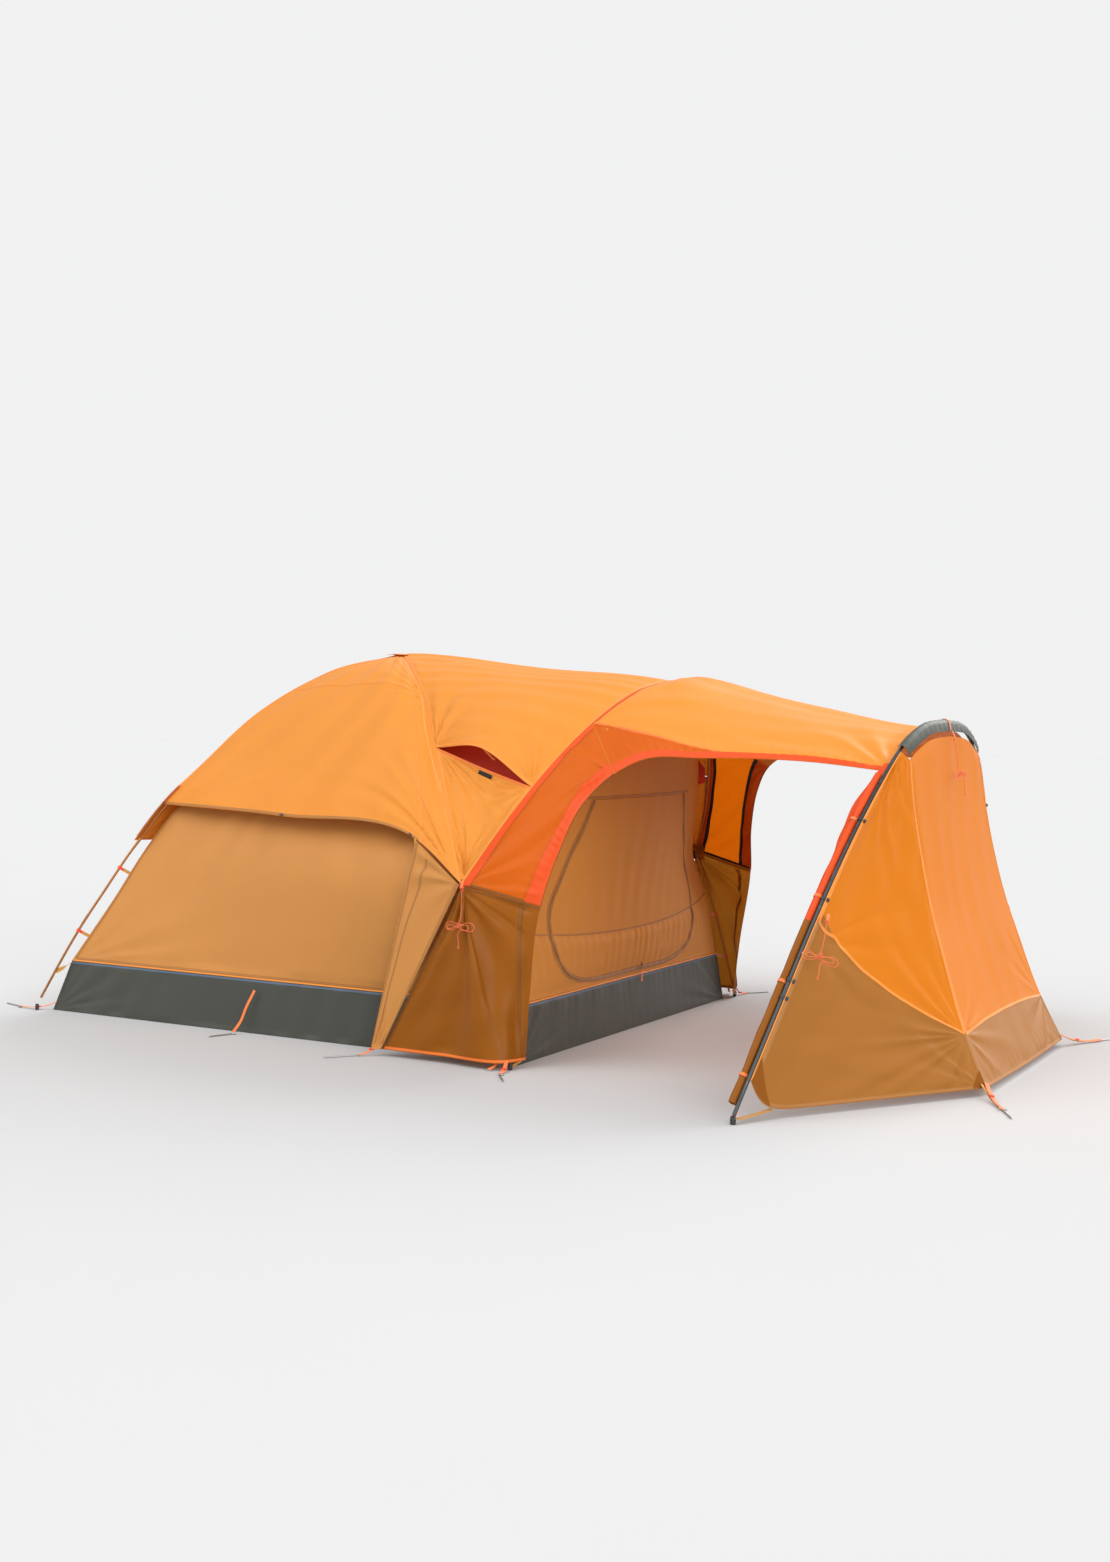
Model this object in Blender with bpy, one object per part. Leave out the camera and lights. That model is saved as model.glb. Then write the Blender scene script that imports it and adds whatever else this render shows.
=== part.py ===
"""Six-person family dome tent with a hooped vestibule, as separate named solids.

Metres, +Z up. The origin is on the ground at the centre of the sleeping floor.
+X runs towards the vestibule, -Y is the "near" side and +Y the "far" side.
The tent is mirror symmetric about the plane Y = 0.
"""

import math

import bmesh
import bpy
import numpy as np
from mathutils import Matrix, Vector

# ---------------------------------------------------------------- driving dimensions
FLOOR_HALF_LENGTH = 1.525
FLOOR_HALF_WIDTH = 1.22
PEAK = 2.04
BAND_HEIGHT = 0.28
DOOR_TOP = 1.26
DOOR_BOTTOM = 0.315
CLOTH = 0.003              # thickness of every fabric stand-in
SEAM = 0.006               # half the slot left between two panels at a seam
POLE_RADIUS = 0.007
HOOP_RADIUS = 0.0085
POLE_INSET = 0.026         # poles run this far under the fly
GAP = 0.0003
FOOT_HEIGHT = 0.030
HUB_RADIUS = 0.018
CORD = 0.003
PEG_RADIUS = 0.0035
PEG_LENGTH = 0.18

NEAR, FAR = -1.0, 1.0
SIDES = ((NEAR, "near"), (FAR, "far"))

# ---------------------------------------------------------------- shape of the poles
# Half curves for the far side; y is multiplied by the side's sign.
DOME_REAR = [
    (0.0, 0.0, PEAK), (-0.32, 0.256, 1.93), (-0.632, 0.506, 1.70), (-0.89, 0.712, 1.39),
    (-1.046, 0.837, 1.19), (-1.18, 0.943, 0.96), (-1.33, 1.064, 0.64),
    (-1.462, 1.17, 0.35), (-1.595, 1.276, 0.03),
]
DOME_FRONT = [
    (0.0, 0.0, PEAK), (0.28, 0.31, 1.94), (0.56, 0.60, 1.77), (0.80, 0.86, 1.52),
    (1.05, 1.13, 1.20), (1.28, 1.36, 0.87),
]
FRONT_LEG = [(1.28, 1.36, 0.87), (1.41, 1.39, 0.50), (1.55, 1.345, 0.03)]
HUB = FRONT_LEG[0]
BROW = [
    (1.28, 1.36, 0.87), (1.41, 1.20, 1.15), (1.53, 0.98, 1.42), (1.63, 0.70, 1.65),
    (1.71, 0.36, 1.82), (1.74, 0.0, 1.88),
]
HOOP = [
    (2.913, 1.842, 0.03), (3.00, 1.60, 0.44), (3.075, 1.33, 0.84), (3.13, 1.10, 1.13),
    (3.172, 0.85, 1.37), (3.20, 0.60, 1.55), (3.215, 0.34, 1.645), (3.22, 0.0, 1.672),
]
# The free edge of the side entrance, from the ground up and over to the hoop.
OPENING_EDGE = [
    (1.58, 1.25, 0.035), (1.61, 1.27, 0.35), (1.67, 1.28, 0.78), (1.71, 1.18, 1.03),
    (1.79, 1.08, 1.27), (1.90, 0.98, 1.41), (2.02, 0.93, 1.48), (2.30, 0.87, 1.495),
    (2.80, 0.80, 1.49), (3.14, 0.74, 1.455),
]
EDGE_WAIST = (1.67, 1.28, 0.78)
EDGE_SHOULDER = (1.90, 0.98, 1.41)
# Fold between the beak's side and end panels.
BEAK_FOLD = [
    (3.66, 0.72, 0.035), (3.53, 0.68, 0.32), (3.44, 0.65, 0.58), (3.38, 0.63, 0.76),
    (3.31, 0.61, 1.04), (3.26, 0.60, 1.31), (3.235, 0.575, 1.50),
]
HEM_REAR_CORNER = (-1.06, 0.848, 1.17)
HEM_FRONT_CORNER = (0.95, 1.25, 1.065)
REAR_HEM_CORNER = (-1.18, 0.943, 0.96)
FLY_GROUND_CORNER = (0.76, 1.38, 0.035)
VENT_ON_POLE = (0.80, 0.86, 1.52)
VENT_ON_BROW = (1.49, 1.055, 1.335)
VENT_LIP = (1.16, 1.00, 1.52)
BROW_SEAM = (1.63, 0.70, 1.65)

# Seam between the inner tent's corners: floor corner, band top, then under the poles.
INNER_REAR = [
    (-1.445, 1.155, 0.28), (-1.27, 1.015, 0.62), (-1.12, 0.895, 0.93),
    (-0.99, 0.79, 1.15), (-0.85, 0.68, 1.34), (-0.59, 0.47, 1.64), (-0.30, 0.24, 1.86),
    (0.0, 0.0, 1.965),
]
INNER_FRONT = [
    (1.50, 1.175, 0.28), (1.385, 1.27, 0.58), (1.225, 1.285, 0.86), (1.00, 1.06, 1.15),
    (0.75, 0.80, 1.45), (0.52, 0.56, 1.69), (0.26, 0.29, 1.87), (0.0, 0.0, 1.965),
]
# Front wall: height, half width, x of its edge and x of its middle.
FRONT_WALL = [
    (0.285, 1.165, 1.495, 1.502), (0.58, 1.235, 1.41, 1.535), (0.86, 1.275, 1.29, 1.565),
    (1.13, 1.10, 1.385, 1.595), (1.39, 0.90, 1.49, 1.625), (1.62, 0.62, 1.585, 1.65),
    (1.75, 0.37, 1.64, 1.665), (1.80, 0.16, 1.665, 1.67),
]
# Front door: height and half width; both lower corners are rounded.
DOOR = [
    (0.315, 0.40), (0.34, 0.60), (0.40, 0.745), (0.50, 0.825), (0.64, 0.845),
    (0.90, 0.72), (1.08, 0.625), (1.26, 0.53),
]

# One loosely tied guyline: across, up and out from its loop, a point at a time.
GUYLINE = [
    (0.000, 0.000, 0.000), (0.000, -0.020, 0.002), (0.001, -0.050, 0.003),
    (0.002, -0.085, 0.003), (0.001, -0.120, 0.003), (-0.004, -0.148, 0.003),
    (-0.020, -0.158, 0.003), (-0.045, -0.150, 0.003), (-0.068, -0.152, 0.003),
    (-0.080, -0.168, 0.003), (-0.070, -0.186, 0.004), (-0.045, -0.188, 0.006),
    (-0.018, -0.176, 0.008), (0.010, -0.162, 0.009), (0.040, -0.150, 0.009),
    (0.068, -0.152, 0.009), (0.082, -0.168, 0.009), (0.074, -0.186, 0.009),
    (0.048, -0.190, 0.011), (0.020, -0.182, 0.014), (-0.010, -0.170, 0.015),
    (-0.038, -0.162, 0.015), (-0.060, -0.166, 0.015), (-0.066, -0.178, 0.016),
    (-0.050, -0.182, 0.019), (-0.022, -0.172, 0.021), (0.006, -0.164, 0.021),
    (0.034, -0.160, 0.021), (0.056, -0.166, 0.021), (0.058, -0.178, 0.022),
    (0.040, -0.184, 0.025), (0.016, -0.186, 0.026), (0.004, -0.200, 0.026),
    (0.003, -0.222, 0.024), (0.006, -0.245, 0.022), (0.004, -0.268, 0.021),
]

COLOURS = {
    "fly": ((0.98, 0.36, 0.065), 0.62, 0.0),
    "canopy": ((0.98, 0.36, 0.065), 0.62, 0.0),
    "facing": ((0.95, 0.13, 0.03), 0.60, 0.0),
    "tan": ((0.53, 0.24, 0.08), 0.72, 0.0),
    "dark_tan": ((0.36, 0.15, 0.02), 0.55, 0.0),
    "charcoal": ((0.09, 0.085, 0.065), 0.60, 0.0),
    "cap_grey": ((0.15, 0.15, 0.13), 0.60, 0.0),
    "mesh": ((0.10, 0.09, 0.07), 0.80, 0.0),
    "bronze_pole": ((0.45, 0.20, 0.07), 0.35, 0.85),
    "grey_pole": ((0.035, 0.042, 0.050), 0.35, 0.70),
    "plastic": ((0.02, 0.02, 0.02), 0.45, 0.0),
    "orange_trim": ((0.90, 0.16, 0.03), 0.50, 0.0),
    "cord": ((0.85, 0.14, 0.03), 0.75, 0.0),
    "steel": ((0.55, 0.56, 0.57), 0.30, 1.0),
}


# ---------------------------------------------------------------- curves
def smooth(points):
    """A smooth curve through the points, as a function of 0..1 along its length."""
    pts = np.array(points, float)
    knots = np.concatenate([[0.0], np.cumsum(np.linalg.norm(np.diff(pts, axis=0), axis=1))])
    knots = knots / knots[-1]
    slopes = np.gradient(pts, knots, axis=0)

    def at(t):
        i = int(np.clip(np.searchsorted(knots, t, side="right") - 1, 0, len(knots) - 2))
        h = knots[i + 1] - knots[i]
        s = (t - knots[i]) / h
        a = 2 * s**3 - 3 * s**2 + 1
        b = s**3 - 2 * s**2 + s
        c = -2 * s**3 + 3 * s**2
        d = s**3 - s**2
        return a * pts[i] + b * h * slopes[i] + c * pts[i + 1] + d * h * slopes[i + 1]

    return at


def nearest(curve, point):
    """Where along the curve it passes closest to the point."""
    ts = np.linspace(0.0, 1.0, 801)
    gaps = [np.linalg.norm(curve(t) - np.array(point)) for t in ts]
    return float(ts[int(np.argmin(gaps))])


def stretch(curve, start, end):
    """The stretch of a curve between two of its parameters."""
    return lambda t: curve(start + (end - start) * t)


def line(a, b):
    first, last = np.array(a, float), np.array(b, float)
    return lambda t: first + (last - first) * t


def mirrored(curve, side):
    """The same curve on the given side of the tent."""
    return lambda t: curve(t) * np.array([1.0, side, 1.0])


def on_side(point, side):
    return np.array([point[0], point[1] * side, point[2]])


def arch(half):
    """A whole arch, near to far, from the half curve that rises to the middle."""
    curve = smooth(half)

    def at(t):
        if t <= 0.5:
            return curve(2 * t) * np.array([1.0, -1.0, 1.0])
        return curve(2 - 2 * t)

    return at


def inset(point, depth, centre):
    """Move a point towards a centre by the depth."""
    step = np.array(centre, float) - point
    return point + step / np.linalg.norm(step) * depth


def under_dome(point, depth):
    return inset(point, depth, (0.0, 0.0, 0.3))


def under_brow(point, depth):
    return inset(point, depth, (1.45, 0.0, 0.5))


# ---------------------------------------------------------------- surfaces
def coons(left, right, bottom, top, sag=None):
    """The patch spanned by four edge curves; left and right run bottom to top."""
    corners = left(0.0), right(0.0), left(1.0), right(1.0)

    def at(u, v):
        ruled = (1 - u) * left(v) + u * right(v) + (1 - v) * bottom(u) + v * top(u)
        low = (1 - u) * corners[0] + u * corners[1]
        high = (1 - u) * corners[2] + u * corners[3]
        point = ruled - (1 - v) * low - v * high
        return point if sag is None else point + sag(u, v)

    return at


def bump(vector, lean=0.5):
    """A displacement that is zero on all four edges and fullest in the middle."""
    move = np.array(vector, float)
    power = math.log(0.5) / math.log(lean)
    return lambda u, v: move * (4 * u * (1 - u)) * (4 * v**power * (1 - v**power))


def grid_points(surface, nu, nv, margin):
    """Sample a patch, stopping short of each edge by the margin in metres."""
    width = [np.linalg.norm(surface(1.0, v) - surface(0.0, v)) for v in np.linspace(0, 1, nv + 1)]
    rows = []
    for j in range(nv + 1):
        length = np.linalg.norm(surface(0.5, 1.0) - surface(0.5, 0.0))
        trim_v = margin / length
        v = trim_v + (1 - 2 * trim_v) * j / nv
        trim_u = min(0.3, margin / max(width[j], margin))
        row = []
        for i in range(nu + 1):
            u = trim_u + (1 - 2 * trim_u) * i / nu
            row.append(surface(u, v))
        rows.append(row)
    return np.array(rows)


# ---------------------------------------------------------------- objects
def material(key):
    name = "mat_" + key
    found = bpy.data.materials.get(name)
    if found:
        return found.copy()
    colour, roughness, metallic = COLOURS[key]
    made = bpy.data.materials.new(name)
    made.use_nodes = True
    shader = made.node_tree.nodes["Principled BSDF"]
    shader.inputs["Base Color"].default_value = (*colour, 1.0)
    shader.inputs["Roughness"].default_value = roughness
    shader.inputs["Metallic"].default_value = metallic
    return made


def add_object(name, mesh, key, pivot=None):
    """Link a mesh as a named object; a moving piece gets its origin at the pivot."""
    if pivot is not None:
        mesh.transform(Matrix.Translation(-Vector(pivot)))
    obj = bpy.data.objects.new(name, mesh)
    if pivot is not None:
        obj.location = Vector(pivot)
    obj.data.materials.append(material(key))
    bpy.context.scene.collection.objects.link(obj)
    return obj


def finished(bm, name):
    """Close a bmesh into a mesh whose faces point out."""
    bmesh.ops.recalc_face_normals(bm, faces=bm.faces[:])
    mesh = bpy.data.meshes.new(name)
    bm.to_mesh(mesh)
    bm.free()
    return mesh


def shell(grid, closed=False, thickness=CLOTH):
    """Thicken a grid of points into a closed sheet; closed joins its ends in u."""
    rows, cols = grid.shape[:2]
    if closed:
        along = np.roll(grid, -1, axis=1) - np.roll(grid, 1, axis=1)
    else:
        along = np.gradient(grid, axis=1)
    across = np.gradient(grid, axis=0)
    normal = np.cross(along, across)
    normal /= np.maximum(np.linalg.norm(normal, axis=2, keepdims=True), 1e-9)
    bm = bmesh.new()
    faces = []
    layers = []
    for offset in (-0.5, 0.5):
        points = grid + normal * thickness * offset
        layers.append([[bm.verts.new(p) for p in row] for row in points])
    last = cols if closed else cols - 1
    for layer in layers:
        for j in range(rows - 1):
            for i in range(last):
                k = (i + 1) % cols
                faces.append((layer[j][i], layer[j][k], layer[j + 1][k], layer[j + 1][i]))
    lower, upper = layers
    for i in range(last):
        k = (i + 1) % cols
        for j in (0, rows - 1):
            faces.append((lower[j][i], lower[j][k], upper[j][k], upper[j][i]))
    if not closed:
        for j in range(rows - 1):
            for i in (0, cols - 1):
                faces.append((lower[j][i], lower[j + 1][i], upper[j + 1][i], upper[j][i]))
    for corners in faces:
        bm.faces.new(corners)
    return bm


def add_panel(name, surface, key, nu=8, nv=6, margin=SEAM, pivot=None):
    mesh = finished(shell(grid_points(surface, nu, nv, margin)), name)
    return add_object(name, mesh, key, pivot)


def tube_mesh(name, centres, radius, sides=8):
    """A round bar along the centres, with flat ends square to its run."""
    pts = np.array(centres)
    tangents = np.gradient(pts, axis=0)
    tangents /= np.linalg.norm(tangents, axis=1, keepdims=True)
    frame = np.cross(tangents[0], (0.0, 0.0, 1.0))
    if np.linalg.norm(frame) < 0.1:
        frame = np.cross(tangents[0], (1.0, 0.0, 0.0))
    bm = bmesh.new()
    rings = []
    for centre, tangent in zip(pts, tangents):
        frame = frame - tangent * float(frame @ tangent)
        frame = frame / np.linalg.norm(frame)
        other = np.cross(tangent, frame)
        ring = []
        for k in range(sides):
            angle = 2 * math.pi * k / sides
            out = math.cos(angle) * frame + math.sin(angle) * other
            ring.append(bm.verts.new(centre + radius * out))
        rings.append(ring)
    for low, high in zip(rings, rings[1:]):
        for k in range(sides):
            m = (k + 1) % sides
            bm.faces.new((low[k], low[m], high[m], high[k]))
    bm.faces.new(rings[0][::-1])
    bm.faces.new(rings[-1])
    mesh = finished(bm, name)
    for polygon in mesh.polygons:
        polygon.use_smooth = len(polygon.vertices) == 4
    return mesh


def add_tube(name, centres, radius, key, sides=8, pivot=None):
    return add_object(name, tube_mesh(name, centres, radius, sides), key, pivot)


def add_turned(name, profile, location, key, sides=12, tilt=None):
    """A turned piece: (radius, height) pairs from its bottom up, about its own Z."""
    bm = bmesh.new()
    rings = []
    for radius, height in profile:
        ring = []
        for k in range(sides):
            angle = 2 * math.pi * k / sides
            ring.append(bm.verts.new((radius * math.cos(angle), radius * math.sin(angle), height)))
        rings.append(ring)
    for low, high in zip(rings, rings[1:]):
        for k in range(sides):
            m = (k + 1) % sides
            bm.faces.new((low[k], low[m], high[m], high[k]))
    bm.faces.new(rings[0][::-1])
    bm.faces.new(rings[-1])
    mesh = finished(bm, name)
    for polygon in mesh.polygons:
        polygon.use_smooth = len(polygon.vertices) == 4
    obj = add_object(name, mesh, key)
    if tilt is not None:
        obj.rotation_mode = "QUATERNION"
        obj.rotation_quaternion = Vector(tilt).to_track_quat("Z", "Y")
    obj.location = Vector(location)
    return obj


def add_box(name, low, high, key, pivot=None, bevel=0.0):
    bm = bmesh.new()
    bmesh.ops.create_cube(bm, size=1.0)
    size = Vector(high) - Vector(low)
    middle = (Vector(high) + Vector(low)) / 2
    bmesh.ops.scale(bm, vec=size, verts=bm.verts[:])
    bmesh.ops.translate(bm, vec=middle, verts=bm.verts[:])
    if bevel:
        bmesh.ops.bevel(bm, geom=bm.edges[:], offset=bevel, segments=2, affect="EDGES", profile=0.5)
    return add_object(name, finished(bm, name), key, pivot)


# ---------------------------------------------------------------- inner tent
def corner_line(side, end):
    """The bathtub floor's corner from the ground to the top of its band."""
    top = INNER_FRONT[0] if end > 0 else INNER_REAR[0]
    bottom = (end * FLOOR_HALF_LENGTH, FLOOR_HALF_WIDTH, 0.0)
    high = (top[0], top[1], BAND_HEIGHT - 0.002)
    return line(on_side(bottom, side), on_side(high, side))


def add_floor():
    clear = 0.006
    add_box(
        "floor_sheet",
        (-FLOOR_HALF_LENGTH + clear, -FLOOR_HALF_WIDTH + clear, 0.0),
        (FLOOR_HALF_LENGTH - clear, FLOOR_HALF_WIDTH - clear, 0.004),
        "charcoal",
    )
    for side, label in SIDES:
        rear, front = corner_line(side, -1), corner_line(side, 1)
        surface = coons(rear, front, line(rear(0), front(0)), line(rear(1), front(1)))
        add_panel("floor_band_" + label, surface, "charcoal", nu=6, nv=1, margin=0.004)
    for end, label in ((-1, "rear"), (1, "front")):
        near, far = corner_line(NEAR, end), corner_line(FAR, end)
        surface = coons(near, far, line(near(0), far(0)), line(near(1), far(1)))
        add_panel("floor_band_" + label, surface, "charcoal", nu=6, nv=1, margin=0.004)


def add_inner_walls():
    rear, front = smooth(INNER_REAR), smooth(INNER_FRONT)
    rear_top = nearest(rear, (-0.87, 0.695, 1.31))
    front_top = nearest(front, (0.88, 0.935, 1.30))
    for side, label in SIDES:
        left = mirrored(stretch(rear, 0.0, rear_top), side)
        right = mirrored(stretch(front, 0.0, front_top), side)
        sag = bump((0.0, -0.02 * side, 0.0))
        surface = coons(left, right, line(left(0), right(0)), line(left(1), right(1)), sag)
        add_panel("side_wall_" + label, surface, "tan", nu=8, nv=7, margin=0.008)
    left = mirrored(stretch(rear, 0.0, rear_top), NEAR)
    right = mirrored(stretch(rear, 0.0, rear_top), FAR)
    surface = coons(left, right, line(left(0), right(0)), line(left(1), right(1)), bump((0.02, 0, 0)))
    add_panel("rear_wall", surface, "tan", nu=8, nv=7, margin=0.008)


def front_wall_point(across, height):
    """A point of the front wall; across is its y."""
    table = np.array(FRONT_WALL)
    half = np.interp(height, table[:, 0], table[:, 1])
    edge = np.interp(height, table[:, 0], table[:, 2])
    middle = np.interp(height, table[:, 0], table[:, 3])
    share = min(1.0, abs(across) / half)
    return np.array([middle + (edge - middle) * share**2, across, height])


def door_outline(grow, count_side, count_flat):
    """The door's outline, from its top hinge-side corner round; grow widens it."""
    table = np.array(DOOR)
    heights = np.linspace(1.0, 0.0, count_side + 1)[:-1]
    side = []
    for share in heights:
        z = DOOR_BOTTOM + (DOOR_TOP - DOOR_BOTTOM) * share**1.6
        side.append((float(np.interp(z, table[:, 0], table[:, 1])), z))
    flat = [(table[0, 1] * (1 - 2 * k / count_flat), DOOR_BOTTOM) for k in range(count_flat + 1)]
    top_half = table[-1, 1]
    top = [(-top_half + 2 * top_half * k / count_flat, DOOR_TOP) for k in range(1, count_flat)]
    loop = side + flat + [(-y, z) for y, z in side[::-1]] + top
    middle = np.array([0.0, (DOOR_TOP + DOOR_BOTTOM) / 2])
    out = []
    for y, z in loop:
        step = np.array([y, z]) - middle
        step = step / np.linalg.norm(step)
        out.append((y + grow * step[0], z + grow * step[1]))
    return out


def wall_outline(loop):
    """The front wall's outer edge, one point on the ray through each door point."""
    table = np.array(FRONT_WALL)
    low, high = table[0, 0] + SEAM, table[-1, 0]
    middle = (DOOR_TOP + DOOR_BOTTOM) / 2
    out = []
    for y, z in loop:
        step = np.array([y, z - middle])
        reach = 1.0
        for k in range(1, 400):
            ty, tz = step * (1 + 0.01 * k)
            tz += middle
            inside = low <= tz <= high and abs(ty) <= np.interp(tz, table[:, 0], table[:, 1])
            if not inside:
                break
            reach = 1 + 0.01 * k
        out.append((step[0] * reach, step[1] * reach + middle))
    return out


def add_front_wall_and_door():
    inner = door_outline(SEAM, 9, 6)
    outer = wall_outline(inner)
    rings = 3
    grid = []
    for r in range(rings + 1):
        t = r / rings
        grid.append([
            front_wall_point(a[0] * (1 - t) + b[0] * t, a[1] * (1 - t) + b[1] * t)
            for a, b in zip(inner, outer)
        ])
    mesh = finished(shell(np.array(grid), closed=True), "front_wall")
    add_object("front_wall", mesh, "tan")

    loop = door_outline(0.0, 9, 6)
    middle = (DOOR_TOP + DOOR_BOTTOM) / 2
    bm = bmesh.new()
    layers = []
    for offset in (-0.5, 0.5):
        layer = []
        for share in (1.0, 0.66, 0.33):
            ring = []
            for y, z in loop:
                p = front_wall_point(y * share, middle + (z - middle) * share)
                ring.append(bm.verts.new((p[0] + CLOTH * offset, p[1], p[2])))
            layer.append(ring)
        centre = front_wall_point(0.0, middle)
        layer.append(bm.verts.new((centre[0] + CLOTH * offset, centre[1], centre[2])))
        layers.append(layer)
    count = len(loop)
    for layer in layers:
        for k in range(count):
            m = (k + 1) % count
            for r in (0, 1):
                bm.faces.new((layer[r][k], layer[r][m], layer[r + 1][m], layer[r + 1][k]))
            bm.faces.new((layer[2][k], layer[2][m], layer[3]))
    for k in range(count):
        m = (k + 1) % count
        bm.faces.new((layers[0][0][k], layers[0][0][m], layers[1][0][m], layers[1][0][k]))
    hinge = front_wall_point(0.0, DOOR_TOP)
    add_object("inner_door", finished(bm, "inner_door"), "tan", pivot=hinge)

    slider = front_wall_point(0.13, DOOR_BOTTOM + 0.02)
    x = slider[0] + CLOTH / 2 + 0.006
    add_box(
        "zip_slider", (x, 0.124, DOOR_BOTTOM - 0.075), (x + 0.006, 0.136, DOOR_BOTTOM + 0.03),
        "orange_trim", pivot=(x, 0.13, DOOR_BOTTOM), bevel=0.0015,
    )


def add_inner_roof():
    """The mesh ceiling that hangs inside the poles, from the walls' tops to the peak."""
    rear, front = smooth(INNER_REAR), smooth(INNER_FRONT)
    rear_low = rear(nearest(rear, (-0.84, 0.67, 1.35)))
    front_low = front(nearest(front, (0.83, 0.885, 1.36)))
    brow = arch(BROW)
    loop = []
    for k in range(6):
        loop.append(on_side(rear_low, NEAR) * (1 - k / 6) + on_side(front_low, NEAR) * k / 6)
    for k in range(15):
        point = under_brow(brow(0.17 + 0.66 * k / 14), 0.085)
        loop.append(point + np.array([-0.06, 0.0, 0.0]))
    for k in range(6):
        loop.append(on_side(front_low, FAR) * (1 - k / 6) + on_side(rear_low, FAR) * k / 6)
    for k in range(6):
        loop.append(on_side(rear_low, FAR) * (1 - k / 6) + on_side(rear_low, NEAR) * k / 6)
    top = np.array([0.0, 0.0, 1.955])
    shrink = 0.985
    grid = []
    for r in (0.05, 0.25, 0.5, 0.75, 1.0):
        row = []
        for point in loop:
            reach = np.linalg.norm(point[:2])
            forward = max(0.0, point[0] / reach)
            rise = 0.085 - 0.19 * forward**6
            p = top + (point - top) * r * shrink
            row.append(p + np.array([0.0, 0.0, rise * 4 * r * (1 - r)]))
        grid.append(row)
    add_object("inner_roof_mesh", finished(shell(np.array(grid), closed=True), "inner_roof"), "mesh")


# ---------------------------------------------------------------- poles
def dome_pole(rear_side, depth_at_peak):
    """One corner-to-corner dome pole, from its rear foot over the peak to the front hub."""
    rear, front = smooth(DOME_REAR), smooth(DOME_FRONT)
    points = []
    for t in np.linspace(0.985, 0.0, 19):
        point = rear(t)
        depth = POLE_INSET if point[2] > 1.0 else POLE_INSET * max(0.0, (point[2] - 0.5) / 0.5)
        blend = math.exp(-((1.6 * t * 3.0) ** 2))
        points.append(under_dome(on_side(point, rear_side), depth + blend * depth_at_peak))
    front_end = nearest(front, under_dome(np.array(HUB), POLE_INSET))
    for t in np.linspace(0.0, front_end, 17)[1:]:
        blend = math.exp(-((1.3 * t * 3.0) ** 2))
        depth = POLE_INSET + blend * depth_at_peak
        points.append(under_dome(on_side(front(t), -rear_side), depth))
    hub = under_dome(on_side(HUB, -rear_side), POLE_INSET)
    points = [p for p in points if np.linalg.norm(p - hub) > HUB_RADIUS + 0.03]
    last = points[-1] - hub
    points.append(hub + last / np.linalg.norm(last) * (HUB_RADIUS + GAP * 2))
    return points


def add_poles():
    add_tube("dome_pole_a", dome_pole(NEAR, 0.0), POLE_RADIUS, "bronze_pole")
    add_tube("dome_pole_b", dome_pole(FAR, 2 * POLE_RADIUS + 0.0012), POLE_RADIUS, "bronze_pole")
    leg = smooth(FRONT_LEG)
    for side, label in SIDES:
        hub = under_dome(on_side(HUB, side), POLE_INSET)
        turns = np.linspace(0.35, math.pi - 0.35, 8)
        ball = [(HUB_RADIUS * math.sin(a), -HUB_RADIUS * math.cos(a)) for a in turns]
        add_turned("pole_hub_" + label, ball, hub, "plastic", sides=14, tilt=(0.25, 0.0, -1.0))
        inward = np.array([-0.2, -side, 0.0]) * POLE_INSET
        points = [on_side(leg(t), side) + inward * (1 - t**4) for t in np.linspace(0, 0.985, 12)]
        points = [p for p in points if np.linalg.norm(p - hub) > HUB_RADIUS + 0.03]
        first = points[0] - hub
        points.insert(0, hub + first / np.linalg.norm(first) * (HUB_RADIUS + GAP * 2))
        add_tube("front_leg_" + label, points, POLE_RADIUS, "bronze_pole")
    brow = arch(BROW)
    hubs = [under_dome(on_side(HUB, side), POLE_INSET) for side, _ in SIDES]
    points = [under_brow(brow(t), POLE_INSET) for t in np.linspace(0.0, 1.0, 29)]
    points = [p for p in points if min(np.linalg.norm(p - h) for h in hubs) > HUB_RADIUS + 0.04]
    for hub, index in ((hubs[0], 0), (hubs[1], -1)):
        step = points[index] - hub
        end = hub + step / np.linalg.norm(step) * (HUB_RADIUS + GAP * 2)
        points.insert(0 if index == 0 else len(points), end)
    add_tube("brow_pole", points, POLE_RADIUS, "bronze_pole")
    hoop = arch(HOOP)
    points = [hoop(t) for t in np.linspace(0.0, 1.0, 37)]
    points[0] = points[0] + (points[1] - points[0]) * 0.08
    points[-1] = points[-1] + (points[-2] - points[-1]) * 0.08
    add_tube("vestibule_hoop", points, HOOP_RADIUS, "grey_pole")


def add_feet():
    """Rubber tips under the poles: turned, standing on the ground."""
    profile = [(0.009, 0.0), (0.012, 0.004), (0.012, 0.018), (0.0095, FOOT_HEIGHT - 0.006)]
    for side, label in SIDES:
        for name, end in (("rear", DOME_REAR[-1]), ("front", FRONT_LEG[-1]), ("hoop", HOOP[0])):
            place = (end[0], end[1] * side, 0.0)
            add_turned("pole_foot_" + name + "_" + label, profile, place, "plastic", sides=12)


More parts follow.
